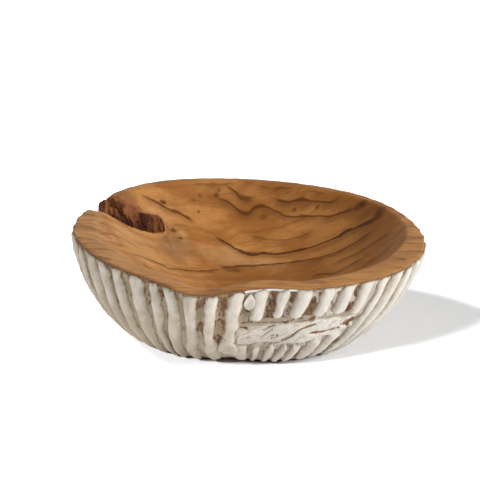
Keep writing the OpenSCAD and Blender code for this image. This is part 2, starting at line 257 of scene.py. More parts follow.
# Slow waves of the outline: direction, spread, share of the wave's height
WAVES = ((345, 30, 0.7), (40, 25, 0.5), (75, 30, -0.52), (130, 22, 1.0), (190, 28, 0.45), (215, 25, -0.24),
         (300, 13, -0.44))
# The scar: how much its edges draw in at its ends, how far it rises to the right, and its step's width
SCAR_TAPER, SCAR_RISE, SCAR_TOP_RISE, SCAR_STEP = 0.24, 0.0045, 0.4, 0.0016
# Along the split: share of its length, then its back and front half widths as shares of its mouth
SPLIT_OUTLINE = np.array(((-0.4, 1.0, 0.72), (0, 0.9, 0.52), (0.24, 0.78, 0.54), (0.34, 0.56, 0.58),
                          (0.45, 0.39, 0.62), (0.62, 0.31, 0.6), (0.8, 0.4, 0.5), (0.94, 0.42, 0.36),
                          (1.0, 0.3, 0.16)))
BACK, FRONT = 1, 2
# What is left of the split's width at its bottom
SPLIT_FLOOR = 0.42
# How far the crests lie off even spacing, in shares of the pitch: from the first rib on, and the last ribs
FIRST_CRESTS = (0, 0.14, 0.14, -0.01, 0.19, 0.21, 0.24, 0.07, 0.04)
LAST_CRESTS = (0.04, 0.08, 0.32, 0.26, 0.1, 0.17, 0.01)
# Ribs that bend on their way down, counted from the first: (height share, degrees)
BENDS = {-6: ((0.2, 0.3), (0.6, -0.5), (0.9, 0)), -5: ((0.1, -0.6), (0.4, -0.8), (0.7, -0.3), (0.9, 0)),
         -4: ((0.1, 1.2), (0.3, 1.3), (0.45, 0), (0.65, 0), (0.9, 0.2)),
         -3: ((0.1, -0.9), (0.38, -0.9), (0.53, 0.4), (0.7, 1.5), (0.84, 1.2), (0.97, 0)),
         -2: ((0.1, -1.4), (0.3, -0.9), (0.43, 0), (0.62, 0.9), (0.8, 0.2)),
         -1: ((0.15, 0.4), (0.5, 0), (0.8, 0.2)), 0: ((0.12, 7.0), (0.3, 5.8), (0.46, 0)),
         1: ((0.12, 3.2), (0.3, 2.2), (0.46, 0)), 2: ((0.3, 1.6), (0.46, 0)), 3: ((0.3, 0.9), (0.46, 0)),
         4: ((0.1, -2.2), (0.3, -3.2), (0.46, 0)), 6: ((0.7, -0.9), (0.87, -0.3)),
         7: ((0.2, 1.4), (0.32, 1.2), (0.47, 0.7), (0.66, -0.3), (0.85, -0.6), (1, 0))}
BEND_STEPS = 64


class Shape:
    """The bowl's surfaces, worked out from its sizes."""

    def __init__(self, scene):
        self.bowl, self.rib, self.scar_size, self.split = (
            scene.bowl_sizes, scene.rib_sizes, scene.scar_sizes, scene.split_sizes)
        count = self.rib.count
        self.pitch = FULL / count
        shares = 0.08 * scatter(np.arange(count), 1)
        shares[:len(FIRST_CRESTS)] = FIRST_CRESTS
        shares[count - len(LAST_CRESTS):] = LAST_CRESTS
        self.crests = self.rib.start + (np.arange(count) + shares) * self.pitch
        self.bends = np.zeros((count, BEND_STEPS + 1))
        for i, bend in BENDS.items():
            heights, turns = zip(*bend)
            self.bends[i % count] = np.interp(np.linspace(0, 1, BEND_STEPS + 1), heights, turns)
        angle, run = math.radians(self.split.angle), math.radians(self.split.run)
        mouth = float(self.outline(np.array(self.split.angle), np.array(1.0)))
        self.mouth = np.array((mouth * math.cos(angle), mouth * math.sin(angle)))
        self.run = np.array((math.cos(run), math.sin(run)))
        self.side = np.array((-self.run[1], self.run[0]))

    def outline(self, a, t):
        """Radius of the smooth outer wall at direction a and height share t."""
        b = self.bowl
        mean = b.foot_radius + (b.rim_radius - b.foot_radius) * np.power(
            1.0 - np.power(1.0 - t, WALL_CURVE), WALL_SWELL)
        waves = sum(share * hump(a, at, spread) for at, spread, share in WAVES)
        swell = b.bulge * np.clip((t - 0.25) / 0.6, 0, 1) * hump(a, BULGE_AT, 9.0)
        draw = b.hollow * (0.35 + 0.65 * np.clip(t / 0.9, 0, 1)) * hump(a, DRAW_AT, 12.0)
        toe = b.toe * np.power(1.0 - t, 4) * hump(a, TOE_AT, 22.0)
        return mean / b.rim_radius * (b.rim_radius + b.wave * waves + swell - draw) - toe

    def rim_outline(self, a):
        return self.outline(a, np.ones_like(a))

    def rim_z(self, a):
        return self.bowl.height - self.bowl.dip * hump(a, BULGE_AT, 11.0)

    def wall(self, a, t):
        r, rad = self.outline(a, t), np.radians(a)
        return stack(r * np.cos(rad) - self.bowl.foot_shift * (1.0 - t), r * np.sin(rad), self.rim_z(a) * t)

    def outward(self, a, t):
        along = self.wall(a + 0.5, t) - self.wall(a - 0.5, t)
        up = self.wall(a, np.minimum(1.0, t + 0.01)) - self.wall(a, np.maximum(0.0, t - 0.01))
        n = np.cross(along, up)
        return n / np.linalg.norm(n, axis=-1, keepdims=True)

    def drift(self, a, t):
        """How far the ribs lie off their directions at the rim, in degrees."""
        r = self.rib
        return (-r.lean * (1 - t) * hump(a, 330.0, 35.0)
                - r.pull * np.clip((0.8 - t) / 0.6, 0, 1) * hump(a, 250.0, 22.0)
                + r.wander * np.sin(np.radians(3 * a + 200 * t)) * np.sin(np.pi * t))

    def crest(self, i, t):
        """Direction of the crest of rib i at height share t."""
        rib, turns = i % self.rib.count, i // self.rib.count
        place = np.clip(t, 0, 1) * BEND_STEPS
        k = np.minimum(place.astype(int), BEND_STEPS - 1)
        bend = self.bends[rib, k] * (1 - place + k) + self.bends[rib, k + 1] * (place - k)
        return self.crests[rib] + FULL * turns + bend

    def groove_wander(self, line, t):
        """Sideways wobble of groove number line, as a share of the pitch."""
        p = stack(line % self.rib.count * 7.31, t * 4.2, 0)
        return 0.17 * lumps(p, 1.0, 5, 2) * np.sin(np.pi * np.clip(t * 1.02, 0, 1)) ** 0.4

    def rib_angle(self, i, u, t):
        """Direction of the line u (0..1 across) of rib i at height share t."""
        i, u, t = np.broadcast_arrays(np.asarray(i, int), u, t)
        wobble = (1 - u) * self.groove_wander(i, t) + u * self.groove_wander(i + 1, t)
        middle = self.crest(i, t)
        near = self.crest(np.where(u < 0.5, i - 1, i + 1), t)
        a = middle + np.abs(u - 0.5) * (near - middle) + wobble * self.pitch
        return a + self.drift(a, t)

    def scar_edges(self, across):
        """Heights of the scar's lower and upper edge, from its left end (-1) to its right end (1)."""
        s = self.scar_size
        taper = SCAR_TAPER * (s.high - s.low) * np.minimum(1.0, np.abs(across)) ** 3
        rise = SCAR_RISE * across
        return s.low + taper + rise, s.high - taper + SCAR_TOP_RISE * rise

    def scar(self, a, t):
        """1 inside the root scar, 0 outside, with a narrow step between."""
        half = self.scar_size.half
        across = turned(a - self.scar_size.angle) / half
        p = stack(np.asarray(a, float) * 0.25, t * 4.0, 0)
        rough = 0.0022 * lumps(p, 1.0, 11, 3)
        low, high = self.scar_edges(np.clip(across, -1, 1))
        z = t * self.bowl.height
        inside = eased((z - (low + rough)) / SCAR_STEP + 0.5) * eased((high + rough - z) / SCAR_STEP + 0.5)
        ends = (1.0 - np.abs(across + 0.04 * lumps(p, 1.0, 12, 2))) * math.radians(half) * 0.16
        return inside * eased(ends / SCAR_STEP + 0.5)

    def across(self, u, a):
        """Share of the way from the crest to the groove; crests lean to the left along the front left."""
        crest = 0.5 - 0.13 * hump(a, 238.0, 32.0)
        return np.where(u < crest, (crest - u) / crest, (u - crest) / (1 - crest))

    def sink(self, u, a, t):
        """Depth of the wood below the smooth wall."""
        v = self.across(u, a)
        depth = np.where(t < 0.2, 0.12 + 0.88 * eased(t / 0.2),
                         np.where(t > 0.86, 1 - 0.86 * eased((t - 0.86) / 0.14), 1.0))
        scar = self.scar(a, t)
        v = np.minimum(v, 2.0 - v)
        round_off = 0.62 * v ** 2 + 0.38 * eased((v - 0.38) / 0.38)
        return self.rib.groove * round_off * depth * (1 - 0.9 * scar) + self.scar_size.dish * scar

    def wood(self, i, u, t, lift=0.0):
        """(points, outward directions) on the wood of rib i, lifted off it by lift."""
        a = self.rib_angle(i, u, t)
        n = self.outward(a, t)
        base = self.wall(a, t)
        deep = eased((self.across(u, a) - 0.5) / 0.3) * np.clip((1 - t) * 9, 0, 1)
        chop = (0.0003 + 0.0014 * deep) * lumps(base, (0.006, 0.006, 0.010), 21, 3)
        height = lift - self.sink(u, a, t) + chop
        return base + n * np.asarray(height)[..., None], n

    def inner_radius(self, a):
        return self.rim_outline(a) - self.bowl.rim_width - self.bowl.rim_more * band(a, *WIDE_RIM)

    def lip(self, a):
        return self.bowl.lip_crisp + (self.bowl.lip_soft - self.bowl.lip_crisp) * band(a, *SOFT_LIP)

    def hollow_z(self, a, r):
        """Height of the hollow and the rim at direction a and radius r."""
        top, lip = self.rim_z(a), self.lip(a)
        share = r / self.inner_radius(a)
        bowl = self.bowl.floor + (top - self.bowl.floor) * np.power(
            share, HOLLOW_CURVE + HOLLOW_STEEP * np.cos(np.radians(a)))
        return np.minimum(bowl, top) - np.square(np.maximum(0, lip - np.abs(bowl - top))) / (4 * lip)

    def worn(self, xy):
        """How far the rim is worn down at xy, beside the split; its front edge droops."""
        along, across = self.to_split(xy)
        front = np.where(across < 0, 1.0, 0.0)
        droop = front * band(along / self.split.length, 0.54, 0.48, 0.20)
        away = self.split_distance(xy)
        edge = 0.0020 - 0.0012 * front * (1 - droop)
        return edge * np.exp(-away / 0.004) + 0.0044 * droop * np.exp(-away / 0.011)

    def to_split(self, xy):
        """(along, across) in the split's own frame; across is positive towards the back."""
        d = xy - self.mouth
        return d @ self.run, d @ self.side

    def from_split(self, along, across):
        return self.mouth + along[..., None] * self.run + across[..., None] * self.side

    def split_half(self, along, wall):
        """Half width of the split at a distance along it, on its BACK or FRONT wall."""
        share = np.asarray(along) / self.split.length
        return np.interp(share, SPLIT_OUTLINE[:, 0], SPLIT_OUTLINE[:, wall]) * self.split.width

    def split_distance(self, xy):
        """Distance in plan from the split's outline, for points outside it."""
        along, across = self.to_split(xy)
        half = np.where(across > 0, self.split_half(along, BACK), self.split_half(along, FRONT))
        past = np.maximum(0, along - self.split.length)
        away = np.hypot(np.maximum(0, np.abs(across) - half), past)
        return away * np.where(along < -0.32 * self.split.length, 4.0, 1.0)


# Meshes
def grid_faces(rows, cols, first=0, closed=False, flip=False):
    """Quads between the rows of a grid of points; closed joins the last column to the first."""
    j = np.arange(cols if closed else cols - 1)
    nxt = (j + 1) % cols
    k = np.arange(rows - 1)[:, None] * cols + first
    quads = np.stack((k + j, k + nxt, k + cols + nxt, k + cols + j), -1).reshape(-1, 4)
    return (quads[:, ::-1] if flip else quads).tolist()


def skin_faces(rows, cols, first=0, flip=False):
    """Faces of a closed skin: two sheets of rows by cols points, the inner one first, and their edge."""
    count = rows * cols
    faces = grid_faces(rows, cols, first, flip=not flip) + grid_faces(rows, cols, first + count, flip=flip)
    index = np.arange(count).reshape(rows, cols) + first
    loop = [*index[0], *index[1:, -1], *index[-1, -2::-1], *index[-2:0:-1, 0]]
    for a, b in zip(loop, loop[1:] + loop[:1]):
        faces.append([b, a, a + count, b + count] if flip else [a, b, b + count, a + count])
    return faces


def new_piece(name, points, faces, smooth=True):
    mesh = bpy.data.meshes.new(name)
    mesh.from_pydata(np.asarray(points).reshape(-1, 3).tolist(), [], [list(map(int, f)) for f in faces])
    mesh.validate()
    mesh.polygons.foreach_set("use_smooth", [smooth] * len(mesh.polygons))
    mesh.update()
    obj = bpy.data.objects.new(name, mesh)
    bpy.context.scene.collection.objects.link(obj)
    return obj


def set_values(obj, name, values, kind="FLOAT"):
    """Stores one value (or vector) for each point of obj's mesh."""
    layer = obj.data.attributes.new(name, kind, "POINT")
    layer.data.foreach_set("value" if kind == "FLOAT" else "vector", np.asarray(values, float).ravel())


def bake_modifiers(obj):
    """Turns what obj's modifiers make into its own plain mesh."""
    depsgraph = bpy.context.evaluated_depsgraph_get()
    depsgraph.update()
    mesh = bpy.data.meshes.new_from_object(obj.evaluated_get(depsgraph))
    old = obj.data
    obj.modifiers.clear()
    obj.data = mesh
    bpy.data.meshes.remove(old)


def clean(obj, outward=False):
    """Merges doubles and drops loose points; outward also turns every face outwards."""
    bm = bmesh.new()
    bm.from_mesh(obj.data)
    bmesh.ops.remove_doubles(bm, verts=bm.verts, dist=MERGE)
    bmesh.ops.dissolve_degenerate(bm, edges=bm.edges, dist=MERGE)
    loose = [v for v in bm.verts if not v.link_faces]
    bmesh.ops.delete(bm, geom=loose, context="VERTS")
    if outward:
        bmesh.ops.recalc_face_normals(bm, faces=bm.faces)
    bm.to_mesh(obj.data)
    bm.free()
    obj.data.update()


def give(obj, material):
    obj.data.materials.clear()
    obj.data.materials.append(material)


def settle(obj, material, node):
    """Says which body a piece rides on, which CAD node it stands for and which finish it takes."""
    give(obj, material)
    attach(obj, BODY)
    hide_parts(node)


# Node trees
class Value:
    """A node's output; sums, differences, products and quotients of it add math nodes."""

    def __init__(self, tree, socket):
        self.tree, self.socket = tree, socket

    def __add__(self, other):
        return self.tree.math("ADD", self, other)

    def __sub__(self, other):
        return self.tree.math("SUBTRACT", self, other)

    def __rsub__(self, other):
        return self.tree.math("SUBTRACT", other, self)

    def __mul__(self, other):
        return self.tree.math("MULTIPLY", self, other)

    def __truediv__(self, other):
        return self.tree.math("DIVIDE", self, other)


class Tree:
    """Short calls for adding and joining nodes."""

    def __init__(self, tree):
        self.tree = tree

    def put(self, value, socket):
        value = value.socket if isinstance(value, Value) else value
        if isinstance(value, bpy.types.NodeSocket):
            self.tree.links.new(value, socket)
        elif value is not None:
            if socket.type == "RGBA" and len(value) == 3:
                value = (*value, 1.0)
            socket.default_value = value

    def node(self, kind, ins=None, **settings):
        node = self.tree.nodes.new(kind)
        for key, value in settings.items():
            setattr(node, key, value)
        for key, value in (ins or {}).items():
            self.put(value, node.inputs[key])
        return node

    def outputs(self, node):
        return [Value(self, out) for out in node.outputs]

    def add(self, kind, ins=None, out=0, **settings):
        return Value(self, self.node(kind, ins, **settings).outputs[out])

    def math(self, operation, *values, clamp=False):
        return self.add("ShaderNodeMath", dict(enumerate(values)), operation=operation, use_clamp=clamp)

    def capped(self, a, b):
        """a + b, kept within 0..1."""
        return self.math("ADD", a, b, clamp=True)

    def most(self, a, b):
        return self.math("MAXIMUM", a, b)

    def vector(self, operation, a, b=None, out=0):
        ins = {0: a, 3 if operation == "SCALE" else 1: b}
        return self.add("ShaderNodeVectorMath", ins, out, operation=operation)

    def stretched(self, vector, x, y, z):
        return self.vector("MULTIPLY", vector, (x, y, z))

    def split(self, vector):
        """The x, y and z of vector."""
        return self.outputs(self.node("ShaderNodeSeparateXYZ", {"Vector": vector}))

    def join(self, x, y, z):
        return self.add("ShaderNodeCombineXYZ", {"X": x, "Y": y, "Z": z})

    def ramp(self, value, low, high, to_low=0.0, to_high=1.0):
        """value taken from low..high to to_low..to_high with soft ends."""
        ins = {"Value": value, "From Min": low, "From Max": high, "To Min": to_low, "To Max": to_high}
        return self.add("ShaderNodeMapRange", ins, interpolation_type="SMOOTHSTEP")

    def mix(self, share, a, b):
        return self.add("ShaderNodeMix", {0: share, 6: a, 7: b}, 2, data_type="RGBA")

    def noise(self, vector, scale, detail=2.0, rough=0.5, w=None):
        ins = {"Vector": vector, "Scale": scale, "Detail": detail, "Roughness": rough}
        if w is None:
            return self.add("ShaderNodeTexNoise", ins)
        return self.add("ShaderNodeTexNoise", {**ins, "W": w}, noise_dimensions="4D")

    def wobble(self, vector, scale, detail, rough, reach):
        """Noise about 0, times reach."""
        return (self.noise(vector, scale, detail, rough) - 0.5) * reach

    def curve(self, value, points):
        """value (0..1) taken through the curve that passes through points."""
        node = self.node("ShaderNodeFloatCurve", {"Value": value})
        curve = node.mapping.curves[0]
        curve.points[0].location, curve.points[1].location = points[0], points[-1]
        for point in points[1:-1]:
            curve.points.new(*point)
        node.mapping.update()
        return Value(self, node.outputs[0])

    def read(self, name):
        """The value stored on the mesh under name."""
        return self.add("ShaderNodeAttribute", out=2, attribute_name=name)

    def group(self, make, **ins):
        """The outputs of the group that make builds, with its inputs set."""
        return self.outputs(self.node("ShaderNodeGroup", ins, node_tree=shared(make)))


# Socket types by the kind of default value; a geometry or material socket is given by its type's name
SOCKETS = {float: "NodeSocketFloat", tuple: "NodeSocketVector"}
ORIGIN = (0.0, 0.0, 0.0)
GROUPS = {}


def shared(make):
    """The group that make builds, built once."""
    if make.__name__ not in GROUPS:
        GROUPS[make.__name__] = make()
    return GROUPS[make.__name__]


def new_group(name, ins, outs, kind="ShaderNodeTree", result="NodeSocketFloat"):
    """An empty node group with its Tree, its inputs as values and its output sockets, both by name."""
    tree = bpy.data.node_groups.new(name, kind)
    for label, value in ins.items():
        socket = SOCKETS.get(type(value), value)
        item = tree.interface.new_socket(label, in_out="INPUT", socket_type=socket)
        if socket != value:
            item.default_value = value
    for label in outs:
        tree.interface.new_socket(label, in_out="OUTPUT", socket_type=result)
    t = Tree(tree)
    values = {out.name: Value(t, out) for out in tree.nodes.new("NodeGroupInput").outputs if out.name}
    return tree, t, values, tree.nodes.new("NodeGroupOutput").inputs


def grain_group():
    """Fibres, growth bands and slow mottling of wood whose layers lie round a far centre."""
    tree, t, ins, outs = new_group(
        "Wood grain", {"Position": ORIGIN, "Centre": (0.06, -0.15, 0.0), "Bands": 150.0, "Wander": 0.012,
                       "Flat": 0.0}, ("Fibre", "Bands", "Mottle", "Pores"))
    position = ins["Position"]
    slow = t.noise(position, 9.0)
    wide = t.noise(t.stretched(position, 1.0, 1.6, 1.3), 22.0, 3.0, 0.55)
    flat = t.stretched(t.vector("SUBTRACT", position, ins["Centre"]), 1.0, 1.0, 0.0)
    x, y, z = t.split(position)
    along, height = x * 9.0, z * 12.0
    bend = ins["Wander"] * (wide - 0.5) + (slow - 0.5) * 0.05
    fibre, bands = [], []
    for layers in (t.vector("LENGTH", flat, out=1), y):
        bent = layers + bend
        layer = t.join(along, bent * ins["Bands"], height)
        fine = t.join(along * 3.0, bent * 1500.0, height * 3.0)
        fibre.append(t.noise(fine, 1.0, 2.0, 0.6))
        bands.append(t.noise(layer, 1.0, 4.0, 0.6))
    for name, (near, far), low, high in (("Fibre", fibre, 0.3, 0.7), ("Bands", bands, 0.42, 0.68)):
        t.put(t.ramp(near + ins["Flat"] * (far - near), low, high), outs[name])
    t.put(t.ramp(t.noise(t.stretched(position, 0.7, 1.3, 1.0), 20.0, 4.0, 0.62), 0.38, 0.62), outs["Mottle"])
    pores = t.join(x * 160.0, bent * 900.0, z * 200.0)
    t.put(t.ramp(t.noise(pores, 1.0, 1.0), 0.66, 0.78), outs["Pores"])
    return tree


def line_group():
    """The mask of one growth line that follows y = Line from x = Start to x = End."""
    tree, t, ins, outs = new_group(
        "Growth line", {"Position": ORIGIN, "Line": 0.0, "Start": -0.1, "End": 0.1, "Width": 0.0012,
                        "Fade": 0.012, "Rough": 0.0, "Swell": 1.0}, ("Mask",))
    x, y, _ = t.split(ins["Position"])
    away = t.math("ABSOLUTE", y + ins["Rough"] - ins["Line"])
    wide = ins["Width"] * ins["Swell"]
    core = t.ramp(away, wide * 0.35, wide * 1.65, 1.0, 0.0)
    below = ins["Line"] - (y + ins["Rough"])
    halo = t.ramp(below, -0.0006, 0.0008) * t.ramp(below, 0.001, 0.0085, 1.0, 0.0) * 0.45
    first = t.ramp(x, ins["Start"], ins["Start"] + ins["Fade"])
    last = t.ramp(x, ins["End"] - ins["Fade"], ins["End"], 1.0, 0.0)
    t.put(t.most(core, halo) * (first * last), outs["Mask"])
    return tree


def spot_group():
    """The mask of one small knot or worm hole."""
    tree, t, ins, outs = new_group(
        "Spot", {"Position": ORIGIN, "Centre": ORIGIN, "Radius": 0.002, "Ragged": 0.0}, ("Mask",))
    d = t.stretched(t.vector("SUBTRACT", ins["Position"], ins["Centre"]), 0.7, 1.0, 0.0)
    away = t.vector("LENGTH", d, out=1) / ins["Radius"] + ins["Ragged"]
    t.put(t.ramp(away, 0.30, 1.15, 1.0, 0.0), outs["Mask"])
    return tree


def chalk_group():
    """Brushed chalky paint: slow clouds, brush strokes, specks and fine grit."""
    parts = ("Clouds", "Strokes", "Specks", "Grit")
    tree, t, ins, outs = new_group("Chalk coat", {"Position": ORIGIN}, parts)
    position = ins["Position"]
    t.put(t.ramp(t.noise(position, 55.0, 3.0, 0.55), 0.35, 0.7), outs["Clouds"])
    t.put(t.ramp(t.noise(t.stretched(position, 1.0, 1.0, 0.16), 750.0, 2.0, 0.6), 0.3, 0.7), outs["Strokes"])
    t.put(t.ramp(t.noise(position, 420.0, 1.0), 0.735, 0.80), outs["Specks"])
    t.put(t.noise(position, 1400.0, 2.0, 0.6), outs["Grit"])
    return tree


def new_material(name):
    material = bpy.data.materials.new(name)
    material.use_nodes = True
    material.node_tree.nodes.clear()
    t = Tree(material.node_tree)
    shader = t.node("ShaderNodeBsdfPrincipled")
    t.node("ShaderNodeOutputMaterial", {"Surface": shader.outputs[0]})
    return material, t, shader, t.add("ShaderNodeTexCoord", out=3)


def finish(t, shader, colour, roughness, specular, relief, distance, strength):
    """Sets the shader's colour, roughness, specular level and bump."""
    bump = t.add("ShaderNodeBump", {"Height": relief, "Distance": distance, "Strength": strength})
    for key, value in (("Base Color", colour), ("Roughness", roughness), ("Specular IOR Level", specular),
                       ("Normal", bump)):
        t.put(value, shader.inputs[key])


# The tables of marks and cracks are in millimetres
MM = 1000.0
# Growth lines in plan: the line's points (x, y), its width and its strength. They span LINE_SPAN metres
# about the middle, and are drawn LINE_WIDEN times as wide as written
LINE_SPAN, LINE_WIDEN = 0.36, 1.02
GROWTH_LINES = (
    (((-122, -8), (-107, 14), (-97, 20), (-87, 25), (-79, 28), (-69, 37), (-54, 45), (-38, 54),
      (-25, 59)), 1.1, 0.90),
    (((-30, 64), (-2, 69), (16, 71), (48, 72), (74, 70), (92, 67), (113, 66), (133, 67)), 1, 0.90),
    (((-40, 104), (-23, 97), (-3, 87), (7, 86), (20, 87), (31, 85), (59, 86), (95, 86), (106, 86),
      (126, 80), (141, 74)), 1.4, 1.00),
    (((64, 45), (76, 44), (89, 37), (106, 37), (124, 35)), 1, 0.85),
    (((-119, 111), (-104, 115), (-89, 116), (-71, 115), (-54, 110)), 1.4, 0.90),
    (((-30, 154), (-16, 148), (-10, 144), (10, 144)), 1.5, 0.85),
    (((23, 142), (45, 136), (59, 134), (81, 126), (101, 122)), 1.2, 0.85),
    (((-39, 140), (-29, 140), (-21, 138), (-8, 130), (0, 129), (6, 133), (15, 135), (25, 132),
      (43, 123), (69, 118), (88, 111), (118, 105)), 1.2, 0.85),
    (((6, 153), (25, 150), (53, 146)), 1, 0.55),
    (((61, 140), (75, 136), (88, 129)), 1.1, 0.60),
    (((-67, 148), (-41, 152), (-10, 155)), 0.8, 0.45),
    (((-1, 108), (16, 104), (48, 100), (75, 105)), 0.9, 0.50),
    (((87, 55), (117, 49), (144, 42), (153, 34)), 0.7, 0.60),
    (((101, 35), (116, 28), (143, 8), (151, 7)), 0.6, 0.50),
    (((-91, 84), (-82, 74), (-73, 61)), 0.9, 0.60),
    (((-79, 93), (-74, 85), (-65, 82)), 0.8, 0.50),
    (((-90, 2), (-82, 12), (-74, 17)), 0.7, 0.45),
    (((-138, 14), (-130, 12), (-121, 20)), 0.8, 0.70),
    (((-153, 3), (-146, -9), (-140, -13)), 0.9, 0.80),
    (((152, 25), (182, 29)), 0.7, 0.80),
    (((151, -4), (182, -9)), 0.6, 0.80),
    (((142, -46), (182, -46)), 0.7, 0.75),
    (((-188, -36), (-140, -50)), 0.7, 0.80),
    (((-188, 5), (-158, -10)), 0.8, 0.85),
    (((-188, 34), (-150, 24)), 0.7, 0.80),
    (((34, -130), (48, -127), (66, -129)), 1.3, 0.65),
    (((-16, -157), (-3, -143), (14, -135)), 1.3, 0.70),
)
# Small knots and holes: x, y, radius, strength
SPOTS = ((-92, 120, 2.7, 0.95), (-60, 134, 1.9, 0.5), (-53, 140, 2.1, 0.6), (-54, 124, 1.9, 0.6),
         (74, 124, 2.5, 0.8), (50, 128, 2.6, 0.55), (17, 125, 3.2, 0.45), (25, 86, 3, 0.9),
         (-79, 95, 3.2, 0.8), (-71, 88, 2.3, 0.7), (147, -70, 3.4, 0.8), (-101, -8, 4.2, 0.5),
         (-36, 143, 2.6, 0.7), (-33, 148, 2.2, 0.6), (-116, 96, 2.2, 0.5), (91, -112, 2.2, 0.6),
         (-139, -91, 2.4, 0.9), (-99, -102, 2.6, 0.6))
# Broad stains: x, y, radius, stretch along x and y, strength, colour
STAINS = ((-142, 14, 13, 1.5, 0.55, 0.42, "redwood"), (-18, 62.5, 11, 0.8, 2.4, 1, "redwood"),
          (-40, 146, 11, 0.9, 1, 0.5, "redwood"), (137, 66, 34, 1.1, 0.8, 0.34, "redwood"),
          (20, 146, 60, 0.7, 2.4, 0.24, "redwood"), (145, 12, 30, 1.2, 0.8, 0.3, "grey"),
          (-76, 75, 24, 1, 0.9, 0.55, "grey"), (-28, 80, 26, 0.7, 1.6, 0.55, "sap"),
          (0, 74, 30, 0.5, 3, 0.6, "sap"), (-69, 94, 4.5, 0.8, 1, 0.75, "sap"),
          (-67, 86, 4, 0.8, 1, 0.6, "sap"), (-110, 35, 30, 0.9, 0.8, 0.5, "sap"),
          (-96, 100, 14, 0.8, 1, 0.55, "sap"), (119, 104, 6.2, 0.7, 1.5, 0.95, "line"),
          (137, 81, 8, 0.9, 0.9, 0.85, "line"), (-22, -128, 13, 1.3, 1, 1, "bare"),
          (-40, -145, 14, 1, 1, 0.8, "bare"), (3, -142, 12, 1, 1, 0.9, "bare"),
          (55, -140, 16, 1, 1, 0.9, "bare"), (95, -120, 12, 1, 1, 0.9, "bare"),
          (32, -146, 14, 1, 1, 0.7, "bare"), (-131, 90, 20, 0.9, 1, 0.85, "bark_light"),
          (-137, 82, 8, 0.8, 1, 0.8, "bark"), (-122, 88, 6, 1.2, 0.8, 0.75, "bark"),
          (-99, -102, 7.5, 0.9, 1, 0.6, "redwood"), (-63, -137, 6.5, 0.9, 1, 0.5, "redwood"),
          (-30, -158, 6.5, 0.8, 1.2, 0.55, "redwood"), (57, -137, 11, 0.6, 1.5, 0.7, "redwood"),
          (-135, -97, 6, 0.8, 1, 0.7, "redwood"))


def wood_marks(t, position, x, y, rim):
    """The mask of the growth lines, knots and rim checks."""
    rough = t.wobble(position, 55.0, 3.0, 0.5, 0.0050)
    swell_by = t.ramp(t.noise(t.stretched(position, 1.0, 0.2, 0.2), 60.0), 0.3, 0.72, 0.55, 1.6)
    reach = t.math("MULTIPLY_ADD", x, 1 / LINE_SPAN, 0.5)
    marks = None
    for points, width, strength in GROWTH_LINES:
        shares = [(px / MM / LINE_SPAN + 0.5, py / MM / LINE_SPAN + 0.5) for px, py in points]
        line = (t.curve(reach, shares) - 0.5) * LINE_SPAN
        mask = t.group(line_group, Position=position, Line=line, Start=points[0][0] / MM,
                       End=points[-1][0] / MM, Width=LINE_WIDEN * width / MM, Rough=rough, Swell=swell_by)[0]
        mask = mask * strength
        marks = mask if marks is None else t.most(marks, mask)
    ragged = t.wobble(position, 230.0, 2.0, 0.6, 1.6)
    for px, py, radius, strength in SPOTS:
        mask = t.group(spot_group, Position=position, Centre=(px / MM, py / MM, 0.0), Radius=radius / MM,
                       Ragged=ragged)[0] * strength
        marks = t.most(marks, mask)
    # short checks that run along the grain across the rim
    checks = t.ramp(t.noise(t.join(x * 7.0, y * 105.0, 0.0), 1.0, 2.0, 0.65), 0.60, 0.68)
    sides = t.ramp(t.math("ABSOLUTE", x), 0.118, 0.150)
    return t.most(marks, checks * rim * t.math("MULTIPLY_ADD", sides, 0.62, 0.10))


def groove_wood(t, colours, position, x, z, groove):
    """Raw wood with thin white residue in the grooves, and the mask of that residue."""
    raw = t.mix(t.ramp(t.noise(position, 120.0, 3.0, 0.6), 0.3, 0.7), colours.raw, colours.raw_dark)
    # more of the wood is bare beside the coat, under the rim and in the bare patches
    bias = groove * (1.0 - groove) * -0.28 + t.ramp(z, 0.072, 0.094, 0.0, -0.055)
    bias = bias + t.ramp(x, -0.06, 0.05, 0.045, 0.0) - t.read("stain_bare") * 0.11
    # painted light: towards the right and low on the wall the residue covers more and is whiter
    right = t.ramp(x, -0.02, 0.08)
    low = t.ramp(z, 0.022, 0.045, 1.0, 0.0)
    bias = bias + t.most(right, low) * 0.050
    tall = t.stretched(position, 1, 1, 0.5)
    residue = t.noise(tall, 75.0) * 0.62 + t.noise(tall, 330.0, 3.0, 0.6) * 0.38 + bias
    clouds = t.group(chalk_group, Position=position)[0]
    thick = t.ramp(t.noise(tall, 160.0, 3.0, 0.6), 0.34, 0.66, 1.0, 0.15)
    chalky = t.mix(t.capped(clouds * 0.20, thick * 0.75), colours.coat_shade, colours.residue)
    chalky = t.mix((right * 0.8 + low * 0.25) * 0.9, chalky, colours.coat)
    raw = t.mix(t.ramp(t.noise(tall, 420.0, 2.0, 0.6), 0.42, 0.62, 0.0, 0.5), raw, colours.residue)
    # the residue stops above the foot on the left and below the rim
    foot = t.most(t.ramp(z, 0.0006, 0.0024), t.ramp(x, -0.088, -0.074, 1.0, 0.0))
    high = t.ramp(z, 0.0935, 0.0960, 1.0, 0.0)
    cover = t.ramp(residue, 0.445, 0.505) * foot * high
    side = t.mix(cover * 0.95, raw, chalky)
    brushed = t.ramp(t.read("brushed") + t.noise(position, 260.0, 2.0, 0.6) * 0.6, 0.75, 0.95)
    side = t.mix(brushed, side, colours.coat)
    # the sawn foot edge is painted dark as bark, which also paints the contact shadow along the foot
    sawn = t.ramp(z, 0.0014, 0.0023, 0.8, 0.0) * t.ramp(x, -0.100, -0.092)
    return t.mix(sawn, side, colours.bark), cover


